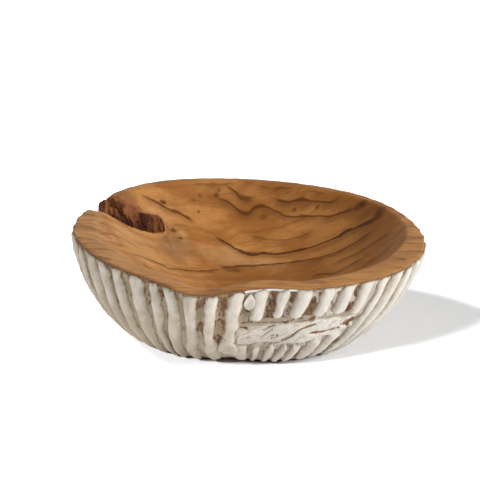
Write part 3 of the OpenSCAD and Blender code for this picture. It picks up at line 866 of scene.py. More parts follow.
def wood_material(colours):
    """Oiled root wood inside and on the rim, raw wood with white residue in the grooves outside."""
    material, t, shader, position = new_material("carved_teak")
    rim = t.read("rim")
    fibre, bands, mottle, pores = t.group(grain_group, Position=position, Flat=rim)
    x, y, z = t.split(position)
    outside, groove, near_split = t.read("outside"), t.read("groove"), t.read("near_split")

    base = t.mix(mottle, colours.honey, colours.teak)
    # heartwood and painted shade: darker and redder towards the right of the hollow, whose wall faces away
    # from the light; paler sapwood with painted light on the left slope
    heart_and_shade = t.ramp(x + mottle * 0.03, -0.02, 0.165)
    inside = 1.0 - rim * 0.85
    base = t.mix(heart_and_shade * inside * (t.ramp(z, 0.030, 0.090, 0.35, 1.0) * 0.24), base, colours.umber)
    left = t.ramp(x + mottle * 0.05, -0.120, 0.02, 0.55, 0.0)
    front = t.ramp(y, 0.02, 0.11, 1.0, 0.35)
    streak = t.ramp(bands, 0.15, 0.85, 1.0, 0.25)
    sap = t.most(left * front * streak, rim * t.ramp(y, -0.02, 0.12, 0.08, 0.0))
    base = t.mix(sap, base, colours.sap)
    for share, strength, colour in ((bands, 0.40, "umber"), (fibre, 0.22, "umber"), (pores, 0.25, "line")):
        base = t.mix(share * strength, base, getattr(colours, colour))

    marks = wood_marks(t, position, x, y, rim) * (1.0 - outside)
    patchy = t.ramp(t.noise(position, 95.0, 3.0, 0.6), 0.30, 0.62, 0.55, 1.0)
    for colour in ("sap", "redwood", "grey", "line", "bark_light", "bark"):
        base = t.mix(t.read("stain_" + colour) * patchy, base, getattr(colours, colour))
    smooth = t.mix(marks * 0.94, base, colours.line)
    ragged = near_split + t.wobble(position, 90.0, 3.0, 0.6, 0.9)
    smooth = t.mix(t.ramp(ragged, 0.42, 0.80) * 0.55, smooth, colours.redwood)
    smooth = t.mix(t.ramp(ragged, 0.75, 1.05) * 0.8, smooth, colours.bark_light)

    side, cover = groove_wood(t, colours, position, x, z, groove)
    colour = t.mix(outside, smooth, side)
    rough = t.capped(outside * 0.30, fibre * 0.14 + 0.46)
    relief = fibre * 0.10 + outside * t.noise(position, 500.0, 3.0, 0.6) * 1.2 + cover * (outside * 0.8)
    finish(t, shader, colour, rough, 0.12, relief, 0.0004, 0.6)
    return material


def coat_material(colours):
    """Thick, chalky white paint that thins to a brownish edge and is scuffed here and there, with painted
    shade on its left and lower parts.
    """
    material, t, shader, position = new_material("white_coat")
    clouds, strokes, specks, grit = t.group(chalk_group, Position=position)
    cover, bare = t.read("cover"), t.read("bare")
    x, _, z = t.split(position)
    # painted shade: darker on the left, most towards the foot there and least at the top; the mottling thins
    # towards the right as painted light
    left = t.ramp(x, -0.12, 0.08, 0.84, 0.0) * t.ramp(z, 0.012, 0.088, 1.35, 0.40)
    smear = t.ramp(t.noise(t.stretched(position, 1.0, 1.0, 0.45), 240.0, 3.0, 0.6), 0.40, 0.66)
    mottle_and_side_shade = t.ramp(x, -0.04, 0.05, 1.0, 0.42)
    shade = t.mix(t.capped(clouds * (mottle_and_side_shade * 0.42), left), colours.coat, colours.coat_shade)
    shade = t.mix(smear * (mottle_and_side_shade * 0.34), shade, colours.coat_shade)
    shade = t.mix(strokes * 0.16, shade, colours.coat_shade)
    # thin edges show the wood through, and the same ramps paint shade on the ribs' flanks
    thin = cover + t.wobble(position, 210.0, 3.0, 0.6, 0.5)
    shade = t.mix(t.ramp(thin, 0.30, 0.85, 1.0, 0.0) * 0.75, shade, colours.coat_shade)
    shade = t.mix(t.ramp(thin, 0.08, 0.50, 1.0, 0.0) * 0.9, shade, colours.residue)
    shade = t.mix(specks * 0.35, shade, colours.raw)
    torn = bare + t.wobble(position, 260.0, 3.0, 0.65, 0.7)
    shade = t.mix(t.ramp(torn, 0.45, 0.75), shade, colours.raw)
    relief = strokes * 0.45 + grit * 0.5 - specks * 0.5
    finish(t, shader, shade, grit * 0.2 + 0.74, 0.22, relief, 0.0005, 0.6)
    return material


def bark_material(colours):
    """Dark ridged bark with scuffed reddish ridges."""
    material, t, shader, position = new_material("dark_bark")
    ridges = t.noise(t.stretched(position, 1.0, 1.0, 0.35), 260.0, 4.0, 0.65)
    patches = t.noise(position, 70.0, 3.0, 0.6)
    scuff = t.capped(t.ramp(ridges, 0.52, 0.70, 0.0, 0.55), t.ramp(patches, 0.52, 0.70, 0.0, 0.6))
    shade = t.mix(t.capped(scuff * 0.45, t.read("pale")), colours.bark, colours.bark_light)
    finish(t, shader, shade, t.ramp(ridges, 0.3, 0.7, 0.95, 0.7), 0.25, ridges, 0.0012, 0.9)
    return material


def coat_tree():
    """Geometry Nodes: swells the outer sheet of a rib's coat along its stored lift, lumpy and brushed."""
    geometry = "NodeSocketGeometry"
    tree, t, ins, outs = new_group(
        "Brushed coat", {"Geometry": geometry, "Thickness": 0.0014, "Lumps": 0.35, "Lump Scale": 130.0,
                         "Strokes": 0.1, "Seed": 0.0, "Material": "NodeSocketMaterial"},
        ("Geometry",), "GeometryNodeTree", geometry)
    tree.is_modifier = True
    place = t.add("GeometryNodeInputPosition")
    cover, lift, brush = (
        t.add("GeometryNodeInputNamedAttribute", {"Name": name}, data_type=kind)
        for name, kind in (("cover", "FLOAT"), ("lift", "FLOAT_VECTOR"), ("brush", "FLOAT_VECTOR")))
    lump = t.noise(place, ins["Lump Scale"], w=ins["Seed"]) - 0.5
    stroke = t.noise(brush, 1.0, 2.0, 0.6, w=ins["Seed"]) - 0.5
    rise = ins["Thickness"] * cover * (lump * ins["Lumps"] + 1.0 + stroke * ins["Strokes"])
    offset = t.vector("SCALE", lift, rise)
    made = t.add("GeometryNodeSetPosition", {"Geometry": ins["Geometry"], "Offset": offset})
    made = t.add("GeometryNodeSetShadeSmooth", {"Geometry": made})
    made = t.add("GeometryNodeRealizeInstances", {"Geometry": made})
    made = t.add("GeometryNodeSetMaterial", {"Geometry": made, "Material": ins["Material"]})
    t.put(made, outs["Geometry"])
    return tree


def swell(obj, **values):
    """Runs the coat tree on obj with the named inputs, and keeps the result as a plain mesh."""
    tree = shared(coat_tree)
    modifier = obj.modifiers.new("Coat", "NODES")
    modifier.node_group = tree
    names = {item.name: item.identifier for item in tree.interface.items_tree
             if item.item_type == "SOCKET" and item.in_out == "INPUT"}
    for key, value in values.items():
        modifier[names[key]] = value
    bake_modifiers(obj)


# The pieces: points across each rib, rows up the wall, and the angle from which the wood's edges are crisp
RIB_LINES, WALL_ROWS, SHARP_FROM = 13, 84, 40


def split_cutter(shape, reach):
    """A closed solid that fills the split, with a rough front wall; reach widens it for the coats."""
    s, height = shape.split, shape.bowl.height
    along = np.concatenate((np.linspace(-0.4, 0.9, 56), np.linspace(0.92, 1.0, 8))) * s.length
    levels = np.concatenate((np.linspace(0, 1, 22), (1.0 + s.width / s.depth,)))
    rings = []
    for level in levels:
        width = SPLIT_FLOOR + (1 - SPLIT_FLOOR) * min(level, 1.0)
        z = np.full(len(along), height - s.depth + level * s.depth - (reach if level == 0 else 0))
        back = shape.split_half(along, BACK) * width + reach
        front = -shape.split_half(along, FRONT) * width - reach
        plain = np.column_stack((shape.from_split(along, front), z))
        front = front + lumps(plain, (0.012, 0.012, 0.016), 31, 3) * 0.0022
        rings.append(np.vstack((np.column_stack((shape.from_split(along, front), z)),
                                np.column_stack((shape.from_split(along, back), z))[::-1])))
    n = 2 * len(along)
    faces = grid_faces(len(rings), n, closed=True)
    top = n * (len(rings) - 1)
    for j in range(n // 2 - 1):
        faces.append([j + 1, j, n - 1 - j, n - 2 - j])
        faces.append([top + j, top + j + 1, top + n - 2 - j, top + n - 1 - j])
    return new_piece("split_cutter", np.array(rings), faces)


def cut_split(obj, shape, reach=0.0):
    """Cuts the split out of obj."""
    cutter = split_cutter(shape, reach)
    boolean = obj.modifiers.new("Split", "BOOLEAN")
    boolean.operation, boolean.solver, boolean.object = "DIFFERENCE", "EXACT", cutter
    bake_modifiers(obj)
    bpy.data.objects.remove(cutter)
    clean(obj)


def wall_rows(shape, i, u):
    """Rows of points up the outer wall, each with its marks: outside, groove and rim."""
    b, rows, ones = shape.bowl, [], np.ones(len(i))
    for t in (1 - b.edge / b.height) * (np.linspace(0, 1, WALL_ROWS) ** 1.15):
        # the foot's sawn edge is upright, and only the wall above it flares
        level = np.full(len(i), max(t, b.foot_edge / b.height))
        p, _ = shape.wood(i, u, level)
        if t * b.height < b.foot_edge:
            p[:, 2] = t * b.height
        p[:, 2] -= shape.worn(p[:, :2]) * eased((t - 0.8) / 0.2)
        a = shape.rib_angle(i, u, level)
        groove = eased((shape.across(u, a) - 0.40) / 0.36) * (1 - shape.scar(a, level))
        rows.append((p, (ones, groove, ones)))
    return rows


def top_rows(shape, edge):
    """Rows over the rim's eased edge, across the rim and down into the hollow, from the wall's last row."""
    b, rows = shape.bowl, []
    a, radius = direction(edge)
    unit = edge[:, :2] / radius[:, None]
    nothing = np.zeros(len(a))
    for turn in (25, 50, 72, 90):
        s, c = math.sin(math.radians(turn)), math.cos(math.radians(turn))
        z = edge[:, 2] + (shape.rim_z(a) - edge[:, 2]) * s - shape.worn(edge[:, :2]) * s
        p = np.column_stack((unit * (radius - b.edge * (1 - c))[:, None], z))
        rows.append((p, (nothing + (1.0 if turn < 40 else 0.0), nothing, nothing + 1.0)))
    outer, inner, lip = radius - b.edge, shape.inner_radius(a), shape.lip(a)
    start = inner + 0.6 * lip
    flat = [outer + (start - outer) * k / 9 for k in range(1, 9)]
    hollow = [start * share for share in (*np.linspace(1, 0.86, 13), *np.linspace(0.84, 0.03, 42))]
    for r in flat + hollow:
        xy = unit * r[:, None]
        p = np.column_stack((xy, shape.hollow_z(a, r)))
        wave = 0.00045 * lumps(p, (0.034, 0.020, 0.030), 41, 2) + 0.00012 * lumps(p, 0.006, 42, 2)
        p[:, 2] = p[:, 2] + wave * np.minimum(1, (outer - r) / 0.004) - shape.worn(xy)
        rows.append((p, (nothing, nothing, eased((r - inner) / (1.5 * lip - 0.0022) + 0.5))))
    return rows


def stains(points):
    """Strength of each broad stain colour at points."""
    found = {}
    ragged = 0.45 * lumps(points, (0.010, 0.010, 0.010), 91, 3)
    for x, y, radius, wide, deep, strength, name in STAINS:
        away = np.hypot((points[:, 0] - x / MM) * wide, (points[:, 1] - y / MM) * deep) / (radius / MM)
        mask = strength * (1 - eased((away + ragged - 0.35) / 0.8))
        found[name] = np.maximum(found.get(name, 0.0), mask)
    return found


def store_wood_values(wood, shape, points, marks):
    """Stores what the wood's material reads; marks belong to points, the bowl's before the split was cut."""
    tree = KDTree(len(points))
    for k, p in enumerate(points):
        tree.insert(p, k)
    tree.balance()
    cut = np.empty(len(wood.data.vertices) * 3)
    wood.data.vertices.foreach_get("co", cut)
    cut = cut.reshape(-1, 3)
    _, nearest, distance = zip(*(tree.find(p) for p in cut))
    outside, groove, rim = marks[list(nearest)].T.copy()
    along, across = shape.to_split(cut[:, :2])
    near = np.exp(-shape.split_distance(cut[:, :2]) / 0.007) * np.where(across > 0, 1.0, 0.55)
    near = near * np.clip(1.25 - along / shape.split.length * 0.7, 0.4, 1.0)
    split_wall = np.array(distance) > 0.0009
    outside[split_wall] = 0.0
    near[split_wall] = 1.0
    a, radius = direction(cut)
    # the coat that was brushed along under the rim at the front
    under = shape.rim_z(a) - cut[:, 2]
    brushed = outside * band(a, 279.5, 8, 4)
    brushed = brushed * eased((under - 0.0006) / 0.0010) * eased((0.0040 - under) / 0.0012)
    found = stains(cut)
    # the rim's outer edge is darker at the front left
    inward = shape.rim_outline(a) - radius
    dark_edge = band(a, 236, 36, 12) * eased((0.0050 - inward + 0.0022 * lumps(cut, 0.009, 95, 2)) / 0.0032)
    found["redwood"] = np.maximum(found["redwood"], 0.62 * dark_edge)
    named = {"outside": outside, "groove": groove, "near_split": near, "rim": rim, "brushed": brushed}
    named.update({"stain_" + name: values for name, values in found.items()})
    for name, values in named.items():
        set_values(wood, name, values)


def make_wood(scene):
    """The wooden bowl: one skin up the wall, over the rim and down the hollow, with the split cut out."""
    shape = Shape(scene)
    i = np.repeat(np.arange(shape.rib.count), RIB_LINES)
    u = np.tile(np.arange(RIB_LINES) / RIB_LINES, shape.rib.count)
    cols = len(i)
    rows = wall_rows(shape, i, u)
    rows += top_rows(shape, rows[-1][0])
    faces = grid_faces(len(rows), cols, closed=True)
    middle, last = len(rows) * cols, (len(rows) - 1) * cols
    faces += [[last + j, last + (j + 1) % cols, middle] for j in range(cols)]
    faces += [[(j + 1) % cols, j, middle + 1] for j in range(cols)]
    points = np.vstack([p for p, _ in rows] + [(0, 0, shape.bowl.floor), (-shape.bowl.foot_shift, 0, 0)])
    marks = np.vstack([np.column_stack(mark) for _, mark in rows] + [(0, 0, 0), (1, 1, 1)])
    wood = new_piece("carved_bowl", points, faces)
    cut_split(wood, shape)
    store_wood_values(wood, shape, points, marks)
    wood.data.set_sharp_from_angle(angle=math.radians(SHARP_FROM))
    settle(wood, wood_material(scene.bowl_finishes), "teak_body")


def strip_points(shape, i, t_low, t_high, seed, at=None, wide=None, thick=1.0):
    """Points, outward directions, cover and brush places of one strip of coat on rib i.

    A blob lies at the direction at, wide is its half width in shares of the pitch, and it is thick times
    as thick as a rib's coat."""
    rib, h = shape.rib, shape.bowl.height
    across, steps = 15, max(14, int((t_high - t_low) * 78))
    w = np.sin(np.linspace(-0.5, 0.5, across) * math.pi * 0.86) / math.sin(0.43 * math.pi)
    s = 0.5 - 0.5 * np.cos(np.pi * (0.06 + 0.88 * np.linspace(0, 1, steps))) / math.cos(0.06 * np.pi)
    W, S = np.meshgrid(w, s)
    # ends: blunt, a little ragged, drawn in towards the long edges
    key = stack(W * 1.5 + i * 3.7, 0, 0)
    low = t_low + (0.0014 * lumps(key, 1.0, seed, 2) + 0.0028 * np.abs(W) ** 3) / h
    high = t_high + (0.0030 * lumps(key, 0.8, seed + 1, 2) - 0.0040 * np.abs(W) ** 3) / h
    high = np.minimum(high, 1 - 0.0012 / h)
    T = low + (high - low) * S
    narrow = 0.13 * float(hump(shape.crests[i], 226.0, 40.0))
    narrow += 0.09 * float(hump(shape.crests[i], 268.0, 9.0))
    half = wide or 0.5 * rib.share * (1 - narrow + 0.12 * float(scatter(i, 6)))
    path = stack(i * 5.13, T * 5.0, np.sign(W) * 3.0)
    edge = 0.09 * lumps(path, 1.0, 51, 2) + 0.055 * lumps(path * (1, 5, 1), 1.0, 52, 2)
    slim = 1.0 - 0.22 * eased((0.16 - T) / 0.16)
    middle = 0.5
    if wide:
        beside, crest = shape.rib_angle(i, 0.3, T), shape.rib_angle(i, 0.5, T)
        middle = 0.5 - 0.2 * (crest - at) / (crest - beside)
        edge = edge * 0.6 - half * (1 - np.sqrt(1 - 0.85 * (2 * S - 0.9) ** 2 / 1.21))
    U = middle + W * (half + edge) * slim
    inner, normal = shape.wood(np.full(W.shape, i), U, T, rib.gap)
    inner[..., 2] -= shape.worn(inner[..., :2].reshape(-1, 2)).reshape(W.shape) * eased((T - 0.8) / 0.2)
    end_gap = np.minimum((T - low), (high - T)) * h
    end = np.sqrt(np.clip(1 - (1 - np.clip(end_gap / 0.0045, 0, 1)) ** 2, 0, 1))
    cover = np.power(np.clip(1 - W ** 2, 0, 1), 0.72) * (0.15 + 0.85 * end)
    if wide:
        cover = np.sqrt(cover * np.sqrt(np.clip(1 - (2 * S - 1) ** 4, 0, 1)))
    return inner, normal, (0.07 + 0.93 * cover) * thick, stack(U * 22.0 + i, T * 4.0, 0.0)


def sheet_piece(name, strips):
    """A closed skin for each strip: an inner sheet on the wood and an outer sheet that is swelled later."""
    points, lift, cover, brush, faces, first = [], [], [], [], [], 0
    for inner, normal, share, stroke in strips:
        rows, cols = inner.shape[:2]
        points += [inner.reshape(-1, 3), (inner + normal * 0.00004).reshape(-1, 3)]
        lift += [np.zeros((rows * cols, 3)), normal.reshape(-1, 3)]
        cover += [share.ravel()] * 2
        brush += [stroke.reshape(-1, 3)] * 2
        faces += skin_faces(rows, cols, first)
        first += 2 * rows * cols
    obj = new_piece(name, np.vstack(points), faces)
    set_values(obj, "lift", np.vstack(lift), "FLOAT_VECTOR")
    set_values(obj, "brush", np.vstack(brush), "FLOAT_VECTOR")
    set_values(obj, "cover", np.concatenate(cover))
    set_values(obj, "bare", np.zeros(first))
    return obj


# Blobs of coat between the ribs: rib, then direction, low and high end, half width, thickness
EXTRA_STRIPS = {0: ((265.3, 0.0150, 0.0450, 0.30, 2.3),), 1: ((271.4, 0.0750, 0.0930, 0.22, 1.3),)}
# The first rib's upper strip comes down past the scar's left end, to this height
FIRST_RIB_OVER = 0.0365
# Strips this close to the split's mouth, in pitches, are cut by it, this much wider than the wood
CUT_WITHIN, CUT_REACH = 2.2, 0.0003


def make_rib_coats(scene):
    """One closed piece of white coat for each rib, in two strips where the scar crosses it."""
    shape = Shape(scene)
    rib, scar, h = shape.rib, shape.scar_size, shape.bowl.height
    material = coat_material(scene.bowl_finishes)
    for i in range(rib.count):
        low = (rib.bare_foot + 0.0003 * float(scatter(i, 7))) / h
        high = 1 - (rib.bare_rim + 0.0005 * float(scatter(i, 8))) / h
        crest = float(shape.crests[i])
        across = float(turned(crest - scar.angle)) / scar.half
        if abs(across) < 1.04:
            under, over = shape.scar_edges(across)
            under, over = (under + 0.0008) / h, (over + 0.0004 if i else FIRST_RIB_OVER) / h
            strips = [strip_points(shape, i, low, under, 100 + 3 * i)] if under - low > 0.06 else []
            strips.append(strip_points(shape, i, over, high, 300 + 3 * i))
        else:
            strips = [strip_points(shape, i, low, high, 100 + 3 * i)]
        for at, low_z, high_z, wide, thick in EXTRA_STRIPS.get(i, ()):
            strips.append(strip_points(shape, i, low_z / h, high_z / h, 700 + i, at, wide, thick))
        obj = sheet_piece(f"white_rib_{i + 1:02d}", strips)
        swell(obj, Thickness=rib.coat, Lumps=0.80, Strokes=0.55, Seed=float(i), Material=material)
        if abs(float(turned(crest - shape.split.angle))) < CUT_WITHIN * shape.pitch:
            cut_split(obj, shape, CUT_REACH)
        settle(obj, material, f"rib_coat_{i + 1:02d}")
    return material


# Cracks in the scar's coat: points (degrees from the scar's middle, height), half width
SCAR_CRACKS = ((((-13.1, 40), (-11.5, 45), (-9.7, 50)), 1),
               (((-4.4, 34.5), (-1.3, 41), (1.2, 48), (3.9, 51), (6, 52.5)), 1.5),
               (((6.1, 43), (10.4, 42), (17.2, 42.5)), 2.4), (((-13.3, 50), (-9.2, 54)), 1.1),
               (((-20.6, 52.7), (-18.5, 52.2)), 0.8),
               (((-22.3, 33.5), (-17.7, 32), (-13, 30.5), (-7.7, 30), (-4.2, 33.3)), 1),
               (((-5.6, 56.5), (-3.6, 60.5), (0.1, 62.5)), 1), (((9.9, 31), (12.4, 34)), 1.8),
               (((18.6, 49), (21.6, 50.5)), 4), (((20.4, 47.5), (21.2, 43)), 2),
               (((-22, 58), (-14, 57.5), (-6, 57.8), (3, 59)), 0.5))
# Radius at which the cracks' directions are measured along the scar, and a degree's length in its flakes
SCAR_RADIUS, SCAR_DEGREE = 0.155, 0.0028


def segment_distance(x, y, ax, ay, bx, by):
    dx, dy = bx - ax, by - ay
    share = np.clip(((x - ax) * dx + (y - ay) * dy) / (dx * dx + dy * dy), 0, 1)
    return np.hypot(x - ax - share * dx, y - ay - share * dy)


def crack_mask(x, z, rough):
    """1 on the scar's cracks, for points x metres along the scar and z high."""
    torn = np.zeros_like(z)
    for points, width in SCAR_CRACKS:
        ragged = width / MM * (1 + 0.7 * rough)
        places = [(math.radians(a) * SCAR_RADIUS, height / MM) for a, height in points]
        for start, end in zip(places, places[1:]):
            d = segment_distance(x, z, *start, *end)
            torn = np.maximum(torn, 1 - eased((d - ragged * 0.5) / (ragged * 0.9)))
    return torn


def make_scar(scene, material):
    """The scar's coat: one sheet in slanting, flaky steps, torn open along its cracks."""
    shape = Shape(scene)
    s, cols, rows = shape.scar_size, 190, 66
    X, Y = np.meshgrid(np.linspace(-1.0, 1.0, cols), np.linspace(0, 1, rows))
    low, high = shape.scar_edges(X)
    key = stack(X * 9, 0, 0)
    low = low + 0.0012 + 0.0016 * lumps(key, 1.0, 61, 3)
    high = high - 0.0012 + 0.0008 * lumps(key, 1.0, 62, 3)
    z = low + (high - low) * Y
    # the drift of the ribs doesn't move the scar: points are placed by direction alone
    a = s.angle + s.half * (X * 0.985 + 0.035 * np.abs(X) ** 6 * lumps(stack(Y * 6, 0, 0), 1.0, 63, 3))
    t = z / shape.bowl.height
    n = shape.outward(a, t)
    wall = shape.wall(a, t)
    # flakes: slanting steps, with crevices between them
    arc = a * SCAR_DEGREE
    slant = stack(arc * 0.35, z - 0.50 * (arc - s.angle * SCAR_DEGREE), 0)
    level = 2.6 * lumps(slant, (0.012, 0.0065, 1.0), 64, 3) + 1.2 * lumps(slant, (0.03, 0.012, 1.0), 65, 2)
    part = level - np.floor(level)
    step = np.floor(level) + eased(part * 3.2)
    rough = lumps(wall, 0.0035, 66, 3)
    lift = s.flake * (1.25 + 0.60 * step + 0.26 * rough)
    crevice = bell(np.minimum(part, 1.0 - part), 0.055) * eased((lumps(wall, 0.010, 67, 2) + 0.25) / 0.3)
    # the left end stands up to the ribs; the band under the upper ribs lies deep and smooth
    deep = eased((Y - 0.70) / 0.10)
    full = (1 - eased((X + 0.86) / 0.45)) * (1 - deep)
    lift = lift * (1 - 0.7 * full) + 0.0040 * full
    lift = np.clip(lift, 0.0, s.dish + 0.0010) * (1 - 0.80 * deep)
    torn = crack_mask(np.radians(a - s.angle) * SCAR_RADIUS, z, rough)
    veins = bell(lumps(slant, (0.011, 0.0034, 1.0), 68, 2), 0.045)
    veins = veins * eased((lumps(wall, 0.011, 69, 2) - 0.02) / 0.2)
    torn = np.maximum(torn, 0.66 * veins * (1 - deep))
    lift = np.maximum(0.0003, lift * (1 - 0.9 * torn) * (1 - 0.35 * crevice))
    rim = np.minimum(np.minimum(Y, 1 - Y) * (high - low), (1 - np.abs(X)) * 0.06)
    lift = lift * (0.2 + 0.8 * np.sqrt(np.clip(rim / 0.0016, 0, 1)))
    bed = -s.dish - 0.1 * shape.rib.groove + 0.00035 * lumps(wall, (0.006, 0.006, 0.009), 21, 3)
    sheets = [wall + n * off[..., None] for off in (bed - 0.0004, bed + lift + shape.rib.gap)]
    obj = new_piece("white_scar", np.array(sheets), skin_faces(rows, cols))
    low_spot = np.clip(0.35 - 0.25 * (step - step.min()), 0, 0.35)
    # painted shadow: a dark line along the top, under the upper ribs' ends, drawn as bare wood
    torn = np.maximum(torn, 0.62 * eased((Y - 0.955) / 0.03))
    # painted shadow: the deep band under the upper ribs is drawn darker, besides the thinner coat on low
    # flakes
    thin = 1.0 - 0.68 * deep - 0.20 * np.clip(0.4 - lift / s.dish, 0, 1)
    # bare wood shows in the cracks and low steps, and the crevices between the flakes are darkened as
    # painted shade
    bare = np.maximum(np.maximum(torn, low_spot), 0.62 * crevice)
    set_values(obj, "cover", np.tile(thin.ravel(), 2))
    set_values(obj, "bare", np.tile(bare.ravel(), 2))
    settle(obj, material, "scar_coat")


def make_bark(scene):
    """Rough bark on the split's back wall, from its outer mouth round to its closed end."""
    shape = Shape(scene)
    s, h, cols, rows = shape.split, shape.bowl.height, 120, 44
    A, L = np.meshgrid(np.linspace(-0.16, 0.985, cols) * s.length, np.linspace(0, 1, rows))
    half = shape.split_half(A, BACK)
    angle, radius = direction(shape.from_split(A, half))
    surface = shape.hollow_z(angle, np.minimum(radius, shape.rim_outline(angle)))
    surface = surface - 0.0016 + 0.0010 * lumps(stack(A, 0, 0), 0.006, 71, 3)
    bottom = h - s.depth + 0.0004
    z = bottom + (np.maximum(surface, bottom + 0.002) - bottom) * L
    back = half * (SPLIT_FLOOR + (1 - SPLIT_FLOOR) * (z - (h - s.depth)) / s.depth)
    flat = stack(A, z, 0)
    ridge = lumps(flat, (0.004, 0.012, 1), 72, 3) + 0.6 * lumps(flat, (0.0016, 0.003, 1), 73, 2)
    thick = s.bark * (0.62 + 0.38 * ridge) * (0.35 + 0.65 * np.sqrt(np.clip((1 - L) * 5, 0, 1)))
    sheets = []
    for lift in (0.0, np.maximum(0.0008, thick)):
        xy = shape.from_split(A, back - 0.0002 - lift)
        # where the split opens past the outer wall, the bark stops at the wall
        angle, radius = direction(xy)
        limit = shape.outline(angle, np.clip(z / h, 0, 1)) - 0.0022 + 0.0006 * ridge
        sheets.append(np.concatenate((xy * np.minimum(1.0, limit / radius)[..., None], z[..., None]), -1))
    obj = new_piece("split_bark", np.array(sheets), skin_faces(rows, cols, flip=True))
    # the bark's top is worn pale in its outer half, and its closed end is pale too
    down = (surface - z) + 0.004 * lumps(flat, (0.010, 0.008, 1), 74, 3)
    along = A / s.length
    worn = (1 - eased((down - 0.012) / 0.008)) * (1 - eased((along - 0.50) / 0.2))
    worn = worn * (1 - 0.75 * eased((lumps(flat, (0.008, 0.006, 1), 75, 2) - 0.05) / 0.25))
    worn = worn * (0.25 + 0.75 * eased((along - 0.04) / 0.14))
    pale = np.maximum(0.55 * eased((along - 0.72) / 0.18), worn)
    set_values(obj, "pale", np.tile(pale.ravel(), 2))
    clean(obj, outward=True)
    settle(obj, bark_material(scene.bowl_finishes), "bark_inclusion")


# The stage: places in metres, directions as vectors, angles in degrees
WHITE = (1.0, 1.0, 1.0)
FLOOR_HALF = 4
LAMP_AIM = Vector((0.0, 0.0, 0.05))
# Large lamps: name, power setting, diameter, place, tint
LAMPS = (("key_softbox", "key", 1.5, (2.6, -1.25, 1.75), (1.0, 0.985, 0.96)),
         ("side_lamp", "side", 0.18, (-1.45, -0.22, 0.62), (1.0, 0.99, 0.97)))
# Two lights for the floor alone: the bowl's shadow lies where neither reaches
FLOOR_LIGHTS = (("floor_light_front", (0.104, 0.115, -0.098)), ("floor_light_back", (0.118, -0.055, -0.098)))
FLOOR_LIGHT_ANGLE = 8.0
CAMERA_PLACE, CAMERA_TILT, CAMERA_ROLL, SENSOR = (-0.00795, -1.40954, 0.59923), 20.0, 2.0, 36.0


def seen_directly(t):
    """1 for what the camera, a reflection or a see-through surface sees, 0 for light that is thrown back."""
    rays = t.node("ShaderNodeLightPath").outputs
    return t.most(rays["Is Camera Ray"], t.most(rays["Is Glossy Ray"], rays["Is Transmission Ray"]))


def add_light(scene, name, kind, power, way, **settings):
    """A light that shines along way."""
    data = bpy.data.lights.new(name, kind)
    data.energy = power
    for key, value in settings.items():
        setattr(data, key, value)
    light = bpy.data.objects.new(name, data)
    light.rotation_euler = Vector(way).to_track_quat("-Z", "Y").to_euler()
    scene.collection.objects.link(light)
    return light


def make_floor(stage):
    half = FLOOR_HALF
    corners = [(-half, -half, 0), (half, -half, 0), (half, half, 0), (-half, half, 0)]
    floor = new_piece("stage_floor", corners, [(0, 1, 2, 3)], smooth=False)
    material, t, shader, _ = new_material("stage_floor")
    t.put(t.mix(seen_directly(t), stage.floor_dim, stage.floor), shader.inputs["Base Color"])
    shader.inputs["Roughness"].default_value = 0.9
    shader.inputs["Specular IOR Level"].default_value = 0.0
    give(floor, material)
    return floor


def make_sky(scene, strength):
    """An even world light, which the camera and reflections see as plain white."""
    scene.world = bpy.data.worlds.new("studio")
    scene.world.use_nodes = True
    scene.world.node_tree.nodes.clear()
    t = Tree(scene.world.node_tree)
    seen = seen_directly(t)
    sky = t.add("ShaderNodeBackground", {"Color": WHITE, "Strength": strength})
    white = t.add("ShaderNodeBackground", {"Color": WHITE, "Strength": 1.0})
    t.node("ShaderNodeOutputWorld", {"Surface": t.add("ShaderNodeMixShader", {0: seen, 1: sky, 2: white})})


def make_camera(scene, lens):
    data = bpy.data.cameras.new("photo_camera")
    data.lens, data.sensor_width, data.sensor_fit = lens, SENSOR, "HORIZONTAL"
    camera = bpy.data.objects.new("photo_camera", data)
    tilt, roll = math.radians(CAMERA_TILT), math.radians(CAMERA_ROLL)
    forward = Vector((0, math.cos(tilt), -math.sin(tilt)))
    side = Vector((1, 0, 0))
    over = side.cross(forward)
    right = math.cos(roll) * side + math.sin(roll) * over
    up = -math.sin(roll) * side + math.cos(roll) * over
    turn = Matrix((right, up, -forward)).transposed().to_4x4()
    camera.matrix_world = Matrix.Translation(CAMERA_PLACE) @ turn
    scene.collection.objects.link(camera)
    scene.camera = camera


def make_stage(scene):
    stage = scene.bowl_stage
    scene.view_settings.view_transform = "Standard"
    only_floor = bpy.data.collections.new("floor_only")
    only_floor.objects.link(make_floor(stage))
    make_sky(scene, stage.sky)
    for name, power, size, place, tint in LAMPS:
        way = LAMP_AIM - Vector(place)
        power = getattr(stage, power)
        add_light(scene, name, "AREA", power, way, shape="DISK", size=size, color=tint).location = place
    for name, way in FLOOR_LIGHTS:
        light = add_light(scene, name, "SUN", stage.cast, way, angle=math.radians(FLOOR_LIGHT_ANGLE))
        light.light_linking.receiver_collection = only_floor
    make_camera(scene, stage.lens)


# Operators, panel and registration
class BOWL_OT_carve(bpy.types.Operator):
    """Carve the wooden bowl with its hollow, grooves and split"""

    bl_idname = "bowl.carve"
    bl_label = "Carve bowl"

    def execute(self, context):
        make_wood(context.scene)
        return {"FINISHED"}


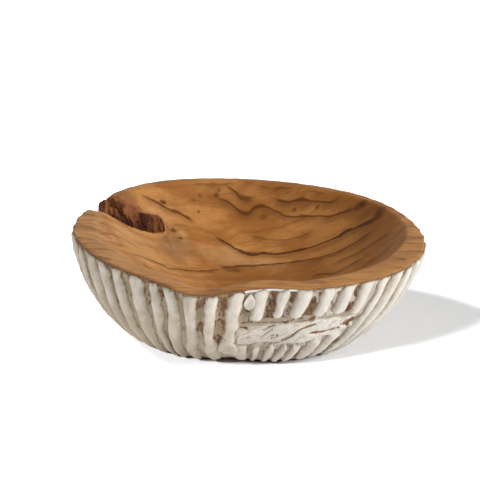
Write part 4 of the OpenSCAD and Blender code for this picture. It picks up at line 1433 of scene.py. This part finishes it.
class BOWL_OT_coat(bpy.types.Operator):
    """Brush the white coat on the ribs and the scar"""

    bl_idname = "bowl.coat"
    bl_label = "Coat ribs and scar"

    def execute(self, context):
        make_scar(context.scene, make_rib_coats(context.scene))
        return {"FINISHED"}


class BOWL_OT_bark(bpy.types.Operator):
    """Line the split with bark"""

    bl_idname = "bowl.bark"
    bl_label = "Add bark"

    def execute(self, context):
        make_bark(context.scene)
        return {"FINISHED"}


class BOWL_OT_stage(bpy.types.Operator):
    """Set the floor, the lights and the camera"""

    bl_idname = "bowl.stage"
    bl_label = "Set stage"

    def execute(self, context):
        make_stage(context.scene)
        return {"FINISHED"}


OPERATORS = (BOWL_OT_stage, BOWL_OT_carve, BOWL_OT_coat, BOWL_OT_bark)
SETTINGS = (("bowl_sizes", BowlSizes), ("rib_sizes", RibSizes), ("scar_sizes", ScarSizes),
            ("split_sizes", SplitSizes), ("bowl_finishes", Finishes), ("bowl_stage", StageSettings))


class BOWL_PT_panel(bpy.types.Panel):
    """The bowl's sizes, colours and operators"""

    bl_idname = "BOWL_PT_panel"
    bl_label = "Carved bowl"
    bl_space_type = "VIEW_3D"
    bl_region_type = "UI"
    bl_category = "Bowl"

    def draw(self, context):
        for attribute, group in SETTINGS:
            box = self.layout.box()
            box.label(text=group.__doc__)
            for key in group.__annotations__:
                box.prop(getattr(context.scene, attribute), key)
        for operator in OPERATORS:
            self.layout.operator(operator.bl_idname)


def register():
    for attribute, group in SETTINGS:
        bpy.utils.register_class(group)
        setattr(bpy.types.Scene, attribute, PointerProperty(type=group))
    for item in (*OPERATORS, BOWL_PT_panel):
        bpy.utils.register_class(item)


def unregister():
    for item in (BOWL_PT_panel, *reversed(OPERATORS)):
        bpy.utils.unregister_class(item)
    for attribute, group in reversed(SETTINGS):
        delattr(bpy.types.Scene, attribute)
        bpy.utils.unregister_class(group)


def main():
    register()
    bpy.ops.bowl.stage()
    bpy.ops.bowl.carve()
    bpy.ops.bowl.coat()
    bpy.ops.bowl.bark()


if __name__ == "__main__":
    main()
